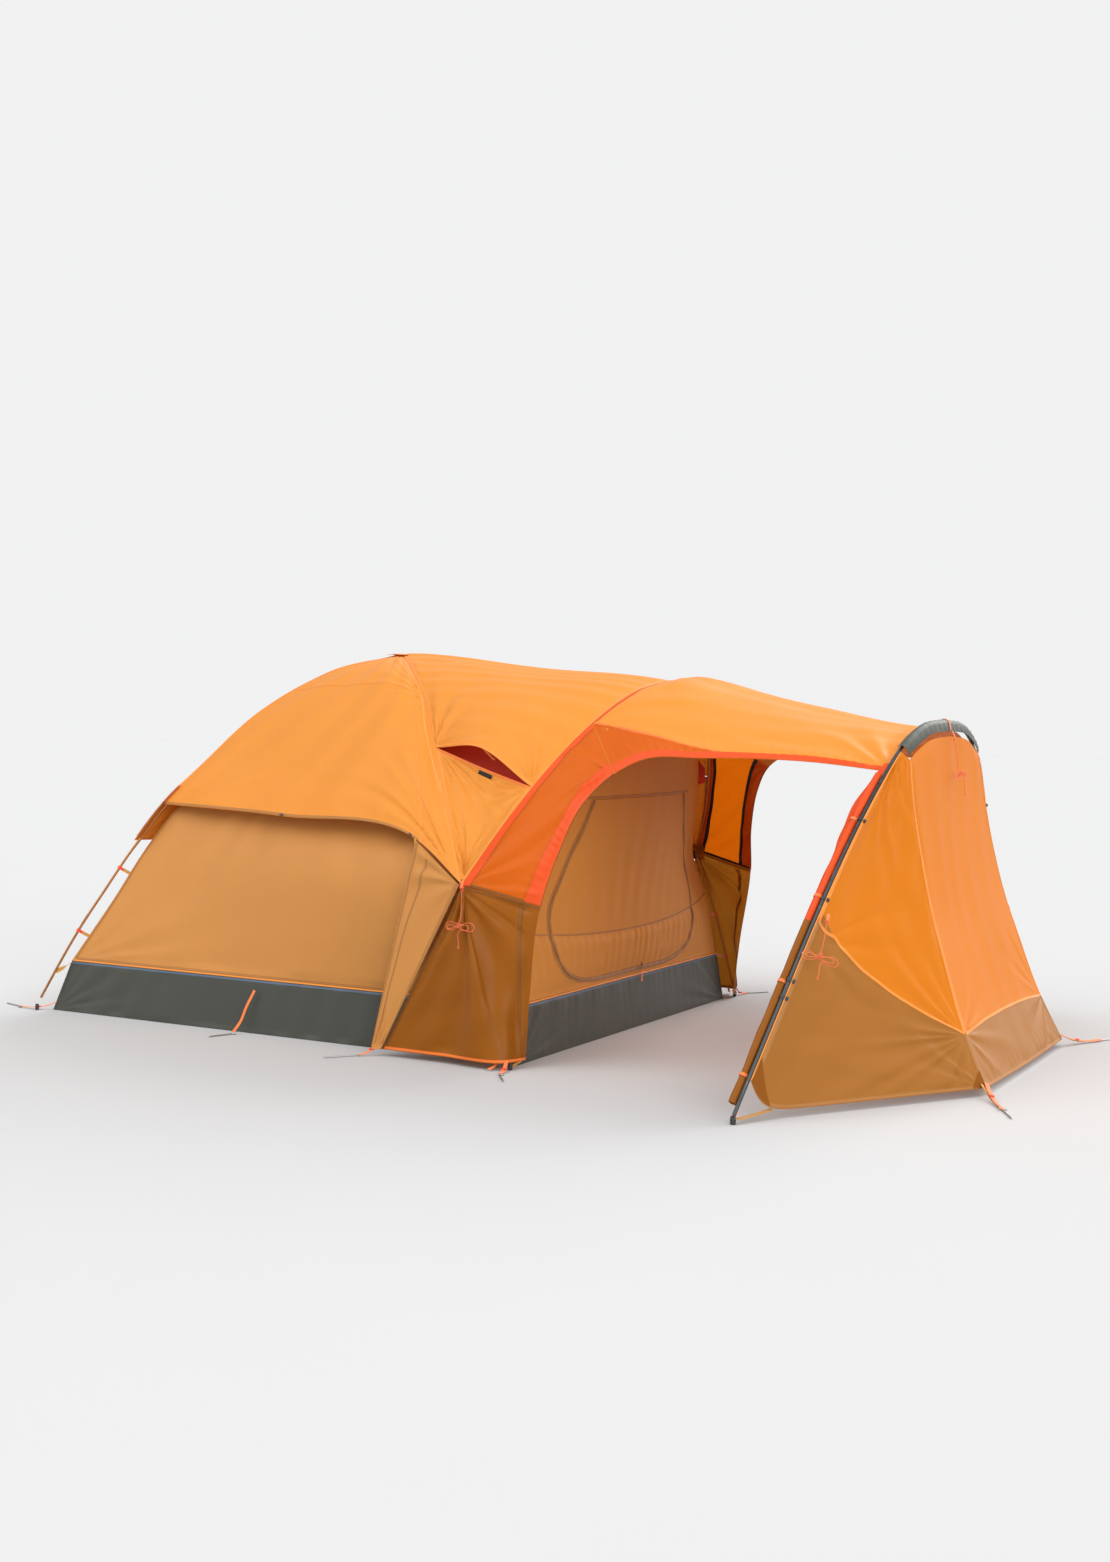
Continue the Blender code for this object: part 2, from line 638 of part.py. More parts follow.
# ---------------------------------------------------------------- fly
def add_fly_sides():
    rear, front = smooth(DOME_REAR), smooth(DOME_FRONT)
    rear_hem = nearest(rear, HEM_REAR_CORNER)
    hem_far = smooth([HEM_REAR_CORNER, (-0.05, 1.045, 1.142), HEM_FRONT_CORNER, HUB])
    for side, label in SIDES:
        left = mirrored(stretch(rear, rear_hem, 0.015), side)
        right = mirrored(stretch(front, 1.0, 0.015), side)
        hem = mirrored(hem_far, side)
        start, end = left(0), right(0)
        bottom = (lambda t, hem=hem, start=start, end=end:
                  hem(t) + (start - hem(0)) * (1 - t) + (end - hem(1)) * t)
        surface = coons(left, right, bottom, line(left(1), right(1)), bump((0.0, side * 0.02, 0.02)))
        add_panel("fly_side_" + label, surface, "fly", nu=12, nv=10)


def add_fly_rear():
    rear = smooth(DOME_REAR)
    low = nearest(rear, REAR_HEM_CORNER)
    left = mirrored(stretch(rear, low, 0.015), NEAR)
    right = mirrored(stretch(rear, low, 0.015), FAR)
    bottom = smooth([left(0), (-1.25, 0.0, 0.93), right(0)])
    surface = coons(left, right, bottom, line(left(1), right(1)), bump((-0.05, 0.0, 0.02)))
    add_panel("fly_rear", surface, "fly", nu=10, nv=10)


def vent_lip(side):
    return smooth([on_side(VENT_ON_POLE, side), on_side(VENT_LIP, side), on_side(VENT_ON_BROW, side)])


def roof_surface():
    """The saddle from the dome poles' front halves to the brow arch."""
    front, brow = smooth(DOME_FRONT), smooth(BROW)
    on_pole = nearest(front, VENT_ON_POLE)
    on_brow = nearest(brow, VENT_ON_BROW)

    def back(t):
        if t <= 0.5:
            return front(on_pole * (1 - 2 * t)) * np.array([1.0, -1.0, 1.0])
        return front(on_pole * (2 * t - 1))

    def ahead(t):
        if t <= 0.5:
            return brow(on_brow + (1 - on_brow) * 2 * t) * np.array([1.0, -1.0, 1.0])
        return brow(on_brow + (1 - on_brow) * (2 - 2 * t))

    def edge(side):
        lip = vent_lip(side)
        start, end = (back(0.0), ahead(0.0)) if side == NEAR else (back(1.0), ahead(1.0))
        return lambda t: lip(t) + (start - lip(0)) * (1 - t) + (end - lip(1)) * t

    def sag(u, v):
        return np.array([0.0, 0.0, -0.34 * v * (1 - v) * math.sin(math.pi * u) ** 2])

    return coons(back, ahead, edge(NEAR), edge(FAR), sag)


def hood_share(u):
    """How far a vent hood reaches up the roof at a place along it."""
    return 0.055 + 0.075 * math.sin(math.pi * u)


def add_fly_roof():
    surface = roof_surface()
    # The patch's u runs back to front and its v from the near vent to the far one.
    wide, deep = 8, 16

    def at(u, v):
        low, high = hood_share(u), 1 - hood_share(u)
        return surface(u, low + (high - low) * v)

    add_panel("fly_front_roof", at, "fly", nu=wide, nv=deep)
    for side, label in SIDES:
        def hood(u, v, side=side):
            share = hood_share(u) * v
            return surface(0.10 + 0.80 * u, share if side == NEAR else 1 - share)
        pivot = surface(0.5, hood_share(0.5) if side == NEAR else 1 - hood_share(0.5))
        add_panel("vent_hood_" + label, hood, "fly", nu=8, nv=2, margin=0.004, pivot=pivot)


def add_vent_panels():
    front, brow = smooth(DOME_FRONT), smooth(BROW)
    on_pole = nearest(front, VENT_ON_POLE)
    on_brow = nearest(brow, VENT_ON_BROW)
    for side, label in SIDES:
        left = mirrored(stretch(front, 0.97, on_pole), side)
        right = mirrored(stretch(brow, 0.04, on_brow), side)
        mid = (left(1) + right(1)) / 2 + np.array([0.0, -0.02 * side, -0.01])
        top = smooth([left(1), mid, right(1)])
        surface = coons(left, right, line(left(0), right(0)), top, bump((-0.01, -0.025 * side, 0.0)))
        add_panel("vent_panel_" + label, surface, "fly", nu=6, nv=6, margin=0.008)


def add_brow_panels():
    brow, edge = smooth(BROW), smooth(OPENING_EDGE)
    brow_top = nearest(brow, BROW_SEAM)
    low, high = nearest(edge, EDGE_WAIST), nearest(edge, EDGE_SHOULDER)
    for side, label in SIDES:
        left = mirrored(stretch(brow, 0.0, brow_top), side)
        right = mirrored(stretch(edge, low, high), side)
        surface = coons(left, right, line(left(0), right(0)), line(left(1), right(1)))
        add_panel("fly_brow_panel_" + label, surface, "canopy", nu=5, nv=8)


def add_corner_panels():
    """The fly's legs at the side entrances: a pale gusset and a dark ground panel."""
    leg, edge = smooth(FRONT_LEG), smooth(OPENING_EDGE)
    waist = nearest(edge, EDGE_WAIST)
    for side, label in SIDES:
        clear = np.array([0.0, 0.016 * side, 0.0])
        hub = on_side(HUB, side)
        corner = on_side(FLY_GROUND_CORNER, side) + clear
        hem = on_side(HEM_FRONT_CORNER, side) + clear
        left = line(corner + np.array([0.02, 0.0, 0.02]), hem)
        right = line(corner + np.array([0.06, 0.0, 0.0]), hub + clear + np.array([-0.012, 0.0, 0.0]))
        surface = coons(left, right, line(left(0), right(0)), line(left(1), right(1)))
        add_panel("fly_gusset_" + label, surface, "tan", nu=3, nv=6)

        def along(t, side=side):
            """From the fly's ground corner, round the leg, to the entrance edge."""
            return smooth([
                on_side(FLY_GROUND_CORNER, side) + np.array([0.075, 0.0, 0.0]),
                on_side((1.17, 1.385, 0.035), side),
                on_side((1.545, 1.372, 0.035), side),
                on_side(OPENING_EDGE[0], side),
            ])(t)

        ridge = nearest(along, on_side((1.545, 1.372, 0.035), side))
        right = mirrored(stretch(edge, 0.0, waist), side)
        left = line(along(0), hub + np.array([0.008, 0.0, -0.012]))
        lift = np.array([0.0, 0.013 * side, 0.0])

        def panel(w, v, left=left, right=right, along=along, ridge=ridge, side=side, lift=lift):
            """The ridge over the leg lies at w = 0.7, on a column of the grid."""
            u = ridge * w / 0.7 if w <= 0.7 else ridge + (1 - ridge) * (w - 0.7) / 0.3
            middle = leg(1 - v) * np.array([1.0, side, 1.0]) + lift
            standing = leg(1.0) * np.array([1.0, side, 1.0]) + lift
            foot = along(u)
            if u <= ridge:
                share = u / ridge
                base = left(v) * (1 - share) + middle * share
                floor_line = left(0) * (1 - share) + standing * share
            else:
                share = (u - ridge) / (1 - ridge)
                base = middle * (1 - share) + right(v) * share
                floor_line = standing * (1 - share) + right(0) * share
            return base + (foot - floor_line) * (1 - v)

        add_panel("fly_leg_panel_" + label, panel, "dark_tan", nu=10, nv=7, margin=0.010)


def canopy_surface():
    brow, edge, hoop = smooth(BROW), smooth(OPENING_EDGE), smooth(HOOP)
    brow_low = nearest(brow, BROW_SEAM)
    shoulder = nearest(edge, EDGE_SHOULDER)
    hoop_low = nearest(hoop, (3.185, 0.72, 1.46))

    def rear(t):
        """Near shoulder, up to the brow seam, over the brow and down again."""
        half = 2 * t if t <= 0.5 else 2 - 2 * t
        flip = np.array([1.0, -1.0 if t <= 0.5 else 1.0, 1.0])
        if half < 0.3:
            share = half / 0.3
            return (edge(shoulder) * (1 - share) + brow(brow_low) * share) * flip
        return brow(brow_low + (1 - brow_low) * (half - 0.3) / 0.7) * flip

    def front(t):
        half = 2 * t if t <= 0.5 else 2 - 2 * t
        flip = np.array([1.0, -1.0 if t <= 0.5 else 1.0, 1.0])
        point = hoop(hoop_low + (1 - hoop_low) * half)
        point = inset(point, 0.036, (point[0], 0.0, 0.6))
        return (point + np.array([-0.022, 0.0, 0.0])) * flip

    def side_edge(side):
        curve = mirrored(stretch(edge, shoulder, 1.0), side)
        start, end = (rear(0), front(0)) if side == NEAR else (rear(1), front(1))
        return lambda t: curve(t) + (start - curve(0)) * (1 - t) + (end - curve(1)) * t

    def sag(u, v):
        drop = 0.248 * u**1.5 * (1 - u**1.5) * math.sin(math.pi * v) ** 1.5
        return np.array([0.0, 0.0, -drop])

    return coons(rear, front, side_edge(NEAR), side_edge(FAR), sag)


def add_canopy():
    add_panel("vestibule_canopy", canopy_surface(), "canopy", nu=8, nv=16)


def add_hoop_cap():
    """The sleeve over the top of the hoop: a strip bent over the pole."""
    hoop = smooth(HOOP)
    low = nearest(hoop, (3.20, 0.60, 1.55))
    section = [(-0.010, 0.013), (0.008, 0.017), (0.024, 0.006), (0.034, -0.036)]
    columns = 16
    grid = []
    for ahead, out in section:
        row = []
        for k in range(columns + 1):
            t = 2 * k / columns
            half = t if t <= 1 else 2 - t
            point = hoop(low + (1 - low) * half)
            flip = -1.0 if t <= 1 else 1.0
            radial = point - np.array([point[0], 0.0, 0.75])
            radial = radial / np.linalg.norm(radial)
            moved = point + radial * out + np.array([ahead, 0.0, 0.0])
            row.append(on_side(moved, flip))
        grid.append(row)
    add_object("hoop_cap", finished(shell(np.array(grid), thickness=0.002), "hoop_cap"), "cap_grey")


def add_rolled_doors():
    """The side doors, rolled up and clipped behind the hoop's legs."""
    hoop = smooth(HOOP)
    top = nearest(hoop, (3.18, 0.78, 1.42))
    for side, label in SIDES:
        points = []
        for t in np.linspace(0.02, top, 14):
            point = hoop(t) + np.array([-0.052, -0.006, 0.004])
            points.append(on_side(point, side))
        points = [np.array([p[0], p[1], max(p[2], 0.045)]) for p in points]
        add_tube("rolled_door_" + label, points, 0.023, "facing", sides=10)


def beak_side_surface(side):
    hoop, fold = smooth(HOOP), smooth(BEAK_FOLD)
    low = nearest(hoop, (2.944, 1.755, 0.17))
    high = nearest(hoop, (3.20, 0.625, 1.53))
    clear = np.array([HOOP_RADIUS + 0.010, 0.0, 0.0])

    def left(t):
        return (hoop(low + (high - low) * t) + clear) * np.array([1.0, side, 1.0])

    right = mirrored(fold, side)
    start, end = left(0), right(0)

    def bottom(t):
        """Straight along the ground, but cut up to the hoop at its first end."""
        point = start * (1 - t) + end * t
        point[2] = end[2] + (start[2] - end[2]) * (1 - t) ** 14
        return point

    return coons(left, right, bottom, line(left(1), right(1)), bump((-0.015, -0.02 * side, 0.0)))


def beak_end_surface():
    fold, hoop = smooth(BEAK_FOLD), smooth(HOOP)
    low = nearest(hoop, (3.20, 0.575, 1.56))
    left, right = mirrored(fold, NEAR), mirrored(fold, FAR)

    def crown(t):
        half = 2 * t if t <= 0.5 else 2 - 2 * t
        flip = -1.0 if t <= 0.5 else 1.0
        point = hoop(low + (1 - low) * half)
        point = inset(point, 0.050, (point[0], 0.0, 0.6)) + np.array([0.022, 0.0, 0.0])
        return on_side(point, flip)

    start, end = left(1), right(1)
    top = lambda t: crown(t) + (start - crown(0)) * (1 - t) + (end - crown(1)) * t
    bottom = smooth([left(0), (3.70, 0.0, 0.035), right(0)])
    return coons(left, right, bottom, top, bump((-0.02, 0.0, 0.0)))


def add_beak():
    for side, label in SIDES:
        add_panel("beak_side_" + label, beak_side_surface(side), "canopy", nu=9, nv=8)
    add_panel("beak_end", beak_end_surface(), "canopy", nu=8, nv=9)


# ---------------------------------------------------------------- small hardware
def add_vent_props():
    """The struts that hold the vent hoods open; each folds about the hood's lip."""
    surface = roof_surface()
    for side, label in SIDES:
        top = surface(0.5, 0.012 if side == NEAR else 0.988)
        top = top + np.array([0.0, -0.012 * side, -0.014])
        foot = top + np.array([0.03, -0.045 * side, -0.055])
        steps = [top * (1 - t) + foot * t for t in np.linspace(0, 1, 3)]
        add_tube("vent_prop_" + label, steps, 0.0025, "plastic", sides=8, pivot=top)


def add_pegs():
    """Bar pegs lying on the ground at the ends of their webbing."""
    places = {
        "peg_rear": ((-1.73, 1.255), (-0.97, -0.26)),
        "peg_fly_corner": ((0.735, 1.44), (-0.62, 0.78)),
        "peg_beak": ((3.80, 0.98), (0.48, 0.88)),
    }
    for name, (start, aim) in places.items():
        for side, label in SIDES:
            first = np.array([start[0], start[1] * side, PEG_RADIUS * 1.1])
            step = np.array([aim[0], aim[1] * side, 0.0])
            step = step / np.linalg.norm(step) * PEG_LENGTH
            hook = np.array([-step[1], step[0], 0.0]) / PEG_LENGTH * 0.022
            points = [first + step * t for t in (1.0, 0.7, 0.4, 0.1, 0.03)]
            points += [first + hook * 0.35, first + hook]
            add_tube(name + "_" + label, points, PEG_RADIUS, "steel", sides=8)


def add_cord(name, exit_point, across, up, out):
    """A guyline: a round cord through the hand-laid points, hanging from its loop."""
    origin = np.array(exit_point, float)
    axes = [np.array(a, float) / np.linalg.norm(a) for a in (across, up, out)]
    route = [origin + axes[0] * a + axes[1] * h + axes[2] * o for a, h, o in GUYLINE]
    path = smooth(route)
    count = 48
    data = bpy.data.curves.new(name, "CURVE")
    data.dimensions = "3D"
    data.bevel_depth = CORD / 2
    data.bevel_resolution = 2
    data.use_fill_caps = True
    spline = data.splines.new("POLY")
    spline.points.add(count - 1)
    for k in range(count):
        point = path(k / (count - 1))
        spline.points[k].co = (point[0], point[1], point[2], 1.0)
    obj = bpy.data.objects.new(name, data)
    obj.data.materials.append(material("cord"))
    bpy.context.scene.collection.objects.link(obj)


def add_guylines():
    for side, label in SIDES:
        add_cord(
            "guyline_hub_" + label, on_side((1.305, 1.400, 0.845), side),
            (1.0, 0.0, 0.0), (0.0, -0.06 * side, 1.0), (0.0, side, 0.0),
        )
        slope = np.array([-0.02, -0.54 * side, 0.84])
        add_cord(
            "guyline_hoop_" + label, on_side((3.125, 1.345, 0.80), side),
            (0.80, -0.52 * side, -0.30), slope, (0.5, 0.62 * side, 0.45),
        )
    add_cord("guyline_beak", (3.275, 0.0, 1.585), (0.0, 1.0, 0.0), (-0.13, 0.0, 1.0), (1.0, 0.0, 0.13))


def main():
    for obj in list(bpy.data.objects):
        bpy.data.objects.remove(obj, do_unlink=True)
    add_floor()
    add_inner_walls()
    add_front_wall_and_door()
    add_inner_roof()
    add_poles()
    add_feet()
    add_fly_sides()
    add_fly_rear()
    add_fly_roof()
    add_vent_panels()
    add_brow_panels()
    add_corner_panels()
    add_canopy()
    add_hoop_cap()
    add_rolled_doors()
    add_beak()
    add_vent_props()
    add_pegs()
    add_guylines()


main()
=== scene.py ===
"""A pitched family dome tent with a hooped vestibule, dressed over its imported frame.

Metres, +Z up, origin on the ground at the centre of the sleeping floor.
+X runs towards the vestibule; -Y is the "near" side and +Y the "far" side.
"""
import math

import bpy
import numpy as np
from mathutils import Matrix, Vector


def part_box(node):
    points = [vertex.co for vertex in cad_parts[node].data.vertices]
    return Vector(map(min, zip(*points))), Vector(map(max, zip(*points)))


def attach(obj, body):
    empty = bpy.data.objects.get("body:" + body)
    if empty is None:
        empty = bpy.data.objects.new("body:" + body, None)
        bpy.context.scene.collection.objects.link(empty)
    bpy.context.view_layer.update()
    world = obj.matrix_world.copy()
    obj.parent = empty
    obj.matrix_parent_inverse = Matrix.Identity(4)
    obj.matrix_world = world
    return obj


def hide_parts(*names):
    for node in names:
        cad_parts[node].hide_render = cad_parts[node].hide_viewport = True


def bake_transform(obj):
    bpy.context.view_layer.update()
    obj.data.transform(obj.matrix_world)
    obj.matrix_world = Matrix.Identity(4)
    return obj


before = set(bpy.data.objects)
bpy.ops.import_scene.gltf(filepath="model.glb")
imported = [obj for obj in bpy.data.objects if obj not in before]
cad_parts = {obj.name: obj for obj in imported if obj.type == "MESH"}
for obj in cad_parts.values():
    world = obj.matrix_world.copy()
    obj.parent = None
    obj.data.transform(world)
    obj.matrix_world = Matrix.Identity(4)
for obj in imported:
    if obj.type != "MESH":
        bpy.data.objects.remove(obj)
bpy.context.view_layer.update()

# ---------------------------------------------------------------- design, as in the CAD
FLOOR_HALF_LENGTH = 1.525
FLOOR_HALF_WIDTH = 1.22
PEAK = 2.04
BAND_HEIGHT = 0.28
WALL_BOTTOM, WALL_TOP = 0.285, 1.80   # of the front wall
WALL_FLAT_HEIGHT = 1.52    # of the front wall, laid flat
DOOR_AREA = 1.30           # left out of the front wall's cloth
DOOR_TOP = 1.26
DOOR_BOTTOM = 0.315
CLOTH = 0.0012             # thickness of the cloth panels
ROLLED_CLOTH = 0.0008      # thickness of the rolled doors' cloth
POLE_RADIUS = 0.007
HOOP_RADIUS = 0.0085
POLE_INSET = 0.026
HUB_RADIUS = 0.018
GUY_DIAMETER = 0.003
WEBBING = 0.0016           # thickness of the narrow webbing
STRAP = 0.0018             # thickness of the ground straps and the zip's tag
LAID_ON = 0.0016           # how far proud of a cloth's middle its tapes are laid
SEAM_WIDTH = 0.012         # width of the stitched tape along a panel's edge
NEAR, FAR = -1.0, 1.0
SIDES = ((NEAR, "near"), (FAR, "far"))

DOME_REAR = [
    (0.0, 0.0, PEAK), (-0.32, 0.256, 1.93), (-0.632, 0.506, 1.70), (-0.89, 0.712, 1.39),
    (-1.046, 0.837, 1.19), (-1.18, 0.943, 0.96), (-1.33, 1.064, 0.64),
    (-1.462, 1.17, 0.35), (-1.595, 1.276, 0.03),
]
DOME_FRONT = [
    (0.0, 0.0, PEAK), (0.28, 0.31, 1.94), (0.56, 0.60, 1.77), (0.80, 0.86, 1.52),
    (1.05, 1.13, 1.20), (1.28, 1.36, 0.87),
]
FRONT_LEG = [(1.28, 1.36, 0.87), (1.41, 1.39, 0.50), (1.55, 1.345, 0.03)]
HUB = FRONT_LEG[0]
BROW = [
    (1.28, 1.36, 0.87), (1.41, 1.20, 1.15), (1.53, 0.98, 1.42), (1.63, 0.70, 1.65),
    (1.71, 0.36, 1.82), (1.74, 0.0, 1.88),
]
HOOP = [
    (2.913, 1.842, 0.03), (3.00, 1.60, 0.44), (3.075, 1.33, 0.84), (3.13, 1.10, 1.13),
    (3.172, 0.85, 1.37), (3.20, 0.60, 1.55), (3.215, 0.34, 1.645), (3.22, 0.0, 1.672),
]
OPENING_EDGE = [
    (1.58, 1.25, 0.035), (1.61, 1.27, 0.35), (1.67, 1.28, 0.78), (1.71, 1.18, 1.03),
    (1.79, 1.08, 1.27), (1.90, 0.98, 1.41), (2.02, 0.93, 1.48), (2.30, 0.87, 1.495),
    (2.80, 0.80, 1.49), (3.14, 0.74, 1.455),
]
EDGE_WAIST = (1.67, 1.28, 0.78)
EDGE_SHOULDER = (1.90, 0.98, 1.41)
BEAK_FOLD = [
    (3.66, 0.72, 0.035), (3.53, 0.68, 0.32), (3.44, 0.65, 0.58), (3.38, 0.63, 0.76),
    (3.31, 0.61, 1.04), (3.26, 0.60, 1.31), (3.235, 0.575, 1.50),
]
HEM_REAR_CORNER = (-1.06, 0.848, 1.17)
HEM_FRONT_CORNER = (0.95, 1.25, 1.065)
REAR_HEM_CORNER = (-1.18, 0.943, 0.96)
FLY_GROUND_CORNER = (0.76, 1.38, 0.035)
VENT_ON_POLE = (0.80, 0.86, 1.52)
VENT_ON_BROW = (1.49, 1.055, 1.335)
VENT_LIP = (1.16, 1.00, 1.52)
BROW_SEAM = (1.63, 0.70, 1.65)
INNER_REAR = [
    (-1.445, 1.155, 0.28), (-1.27, 1.015, 0.62), (-1.12, 0.895, 0.93),
    (-0.99, 0.79, 1.15), (-0.85, 0.68, 1.34), (-0.59, 0.47, 1.64), (-0.30, 0.24, 1.86),
    (0.0, 0.0, 1.965),
]
INNER_FRONT = [
    (1.50, 1.175, 0.28), (1.385, 1.27, 0.58), (1.225, 1.285, 0.86), (1.00, 1.06, 1.15),
    (0.75, 0.80, 1.45), (0.52, 0.56, 1.69), (0.26, 0.29, 1.87), (0.0, 0.0, 1.965),
]
# Front wall: height, half width, x of its edge and x of its middle.
FRONT_WALL = [
    (0.285, 1.165, 1.495, 1.502), (0.58, 1.235, 1.41, 1.535), (0.86, 1.275, 1.29, 1.565),
    (1.13, 1.10, 1.385, 1.595), (1.39, 0.90, 1.49, 1.625), (1.62, 0.62, 1.585, 1.65),
    (1.75, 0.37, 1.64, 1.665), (1.80, 0.16, 1.665, 1.67),
]
# Front door: height and half width.
DOOR = [
    (0.315, 0.40), (0.34, 0.60), (0.40, 0.745), (0.50, 0.825), (0.64, 0.845),
    (0.90, 0.72), (1.08, 0.625), (1.26, 0.53),
]
# One loosely tied guyline: across, up and out from its loop.
GUYLINE = [
    (0.000, 0.000, 0.000), (0.000, -0.020, 0.002), (0.001, -0.050, 0.003),
    (0.002, -0.085, 0.003), (0.001, -0.120, 0.003), (-0.004, -0.148, 0.003),
    (-0.020, -0.158, 0.003), (-0.045, -0.150, 0.003), (-0.068, -0.152, 0.003),
    (-0.080, -0.168, 0.003), (-0.070, -0.186, 0.004), (-0.045, -0.188, 0.006),
    (-0.018, -0.176, 0.008), (0.010, -0.162, 0.009), (0.040, -0.150, 0.009),
    (0.068, -0.152, 0.009), (0.082, -0.168, 0.009), (0.074, -0.186, 0.009),
    (0.048, -0.190, 0.011), (0.020, -0.182, 0.014), (-0.010, -0.170, 0.015),
    (-0.038, -0.162, 0.015), (-0.060, -0.166, 0.015), (-0.066, -0.178, 0.016),
    (-0.050, -0.182, 0.019), (-0.022, -0.172, 0.021), (0.006, -0.164, 0.021),
    (0.034, -0.160, 0.021), (0.056, -0.166, 0.021), (0.058, -0.178, 0.022),
    (0.040, -0.184, 0.025), (0.016, -0.186, 0.026), (0.004, -0.200, 0.026),
    (0.003, -0.222, 0.024), (0.006, -0.245, 0.022), (0.004, -0.268, 0.021),
]


def vec(x, y, z):
    return np.array([x, y, z], float)


# Points inside the tent: panels face away from the first two, poles are inset towards the others.
DOME_CORE, PORCH_CORE = vec(0.0, 0.0, 0.5), vec(2.4, 0.0, 0.4)
POLE_CORE, BROW_CORE = vec(0.0, 0.0, 0.3), vec(1.45, 0.0, 0.5)


# ---------------------------------------------------------------- curves and surfaces
def col(values):
    return np.asarray(values, float)[..., None]


def smooth(points):
    """A smooth curve through the points, as a function of 0..1, for arrays too."""
    pts = np.array(points, float)
    knots = np.concatenate([[0.0], np.cumsum(np.linalg.norm(np.diff(pts, axis=0), axis=1))])
    knots = knots / knots[-1]
    slopes = np.gradient(pts, knots, axis=0)

    def at(t):
        t = np.asarray(t, float)
        i = np.clip(np.searchsorted(knots, t, side="right") - 1, 0, len(knots) - 2)
        h = knots[i + 1] - knots[i]
        s = (t - knots[i]) / h
        a, b = 2 * s**3 - 3 * s**2 + 1, (s**3 - 2 * s**2 + s) * h
        c, d = 3 * s**2 - 2 * s**3, (s**3 - s**2) * h
        return col(a) * pts[i] + col(b) * slopes[i] + col(c) * pts[i + 1] + col(d) * slopes[i + 1]

    return at


def nearest(curve, point):
    """Where along the curve it passes closest to the point."""
    ts = np.linspace(0.0, 1.0, 801)
    return float(ts[int(np.argmin(np.linalg.norm(curve(ts) - np.array(point), axis=-1)))])


def stretch(curve, start, end):
    return lambda t: curve(start + (end - start) * np.asarray(t, float))


def line(a, b):
    first, last = np.array(a, float), np.array(b, float)
    return lambda t: first + (last - first) * col(t)


def mirrored(curve, side):
    return lambda t: curve(t) * vec(1.0, side, 1.0)


def on_side(point, side):
    return np.array([point[0], point[1] * side, point[2]], float)


def arch(half):
    """A whole arch, near to far, from the half curve that rises to the middle."""
    curve = smooth(half)

    def at(t):
        half, flip = halved(t)
        return curve(half) * flip

    return at


def unit(vectors):
    vectors = np.asarray(vectors, float)
    return vectors / np.maximum(np.linalg.norm(vectors, axis=-1, keepdims=True), 1e-9)


def length_of(points):
    return float(np.linalg.norm(np.diff(points, axis=0), axis=1).sum())


def pinned(curve, start, stop):
    """The curve, eased so that it starts and stops at the two points."""
    return lambda t: curve(t) + (start - curve(0.0)) * col(1 - np.asarray(t)) + (stop - curve(1.0)) * col(t)


def halved(t):
    """How far a place along a whole arch is up its half, and the flip to its side."""
    t = np.asarray(t, float)
    return 1 - np.abs(1 - 2 * t), np.stack([np.ones_like(t), np.where(t <= 0.5, -1.0, 1.0),
                                            np.ones_like(t)], axis=-1)


def inset(points, depth, centre):
    return points + unit(np.asarray(centre, float) - points) * depth


def coons(left, right, bottom, top, sag=None):
    """The patch spanned by four edge curves; left and right run bottom to top."""
    c00, c10, c01, c11 = left(0.0), right(0.0), left(1.0), right(1.0)

    def at(u, v):
        u, v = np.asarray(u, float), np.asarray(v, float)
        ruled = col(1 - u) * left(v) + col(u) * right(v) + col(1 - v) * bottom(u) + col(v) * top(u)
        low = col(1 - u) * c00 + col(u) * c10
        high = col(1 - u) * c01 + col(u) * c11
        point = ruled - col(1 - v) * low - col(v) * high
        return point if sag is None else point + sag(u, v)

    return at


def ruled(left, right, sag=None):
    """The patch between two curves whose other two edges are straight."""
    return coons(left, right, line(left(0.0), right(0.0)), line(left(1.0), right(1.0)), sag)


def bump(vector):
    move = np.array(vector, float)
    return lambda u, v: move * col(16 * u * (1 - u) * v * (1 - v))


# ---------------------------------------------------------------- wrinkles
LATTICE = np.random.RandomState(11).rand(64, 64) * 2 - 1


def noise(x, y, seed=0):
    """Smooth value noise, about -1..1, one cell per unit."""
    x, y = np.asarray(x, float) + seed * 17.31, np.asarray(y, float) + seed * 9.17
    xi, yi = np.floor(x).astype(int), np.floor(y).astype(int)
    fx, fy = x - xi, y - yi
    fx, fy = fx * fx * (3 - 2 * fx), fy * fy * (3 - 2 * fy)
    low = LATTICE[xi % 64, yi % 64] * (1 - fx) + LATTICE[(xi + 1) % 64, yi % 64] * fx
    high = LATTICE[xi % 64, (yi + 1) % 64] * (1 - fx) + LATTICE[(xi + 1) % 64, (yi + 1) % 64] * fx
    return low * (1 - fy) + high * fy


def fan(cu, cv, per_turn, height, near, far, seed=0):
    """Folds that radiate from a point of the panel."""
    def fold(u, v, size):
        dx, dy = (u - cu) * size[0], (v - cv) * size[1]
        r, a = np.hypot(dx, dy), np.arctan2(dy, dx)
        ridge = np.sin(a * per_turn + 1.6 * noise(a * 3, r * 2.5, seed))
        patch = 0.45 + 0.55 * noise(a * per_turn * 0.3, r * 1.5, seed + 3)
        return 1.4 * height * ridge * patch * np.clip(r / near, 0, 1) ** 1.3 * np.exp(-((r / far) ** 2))
    return fold


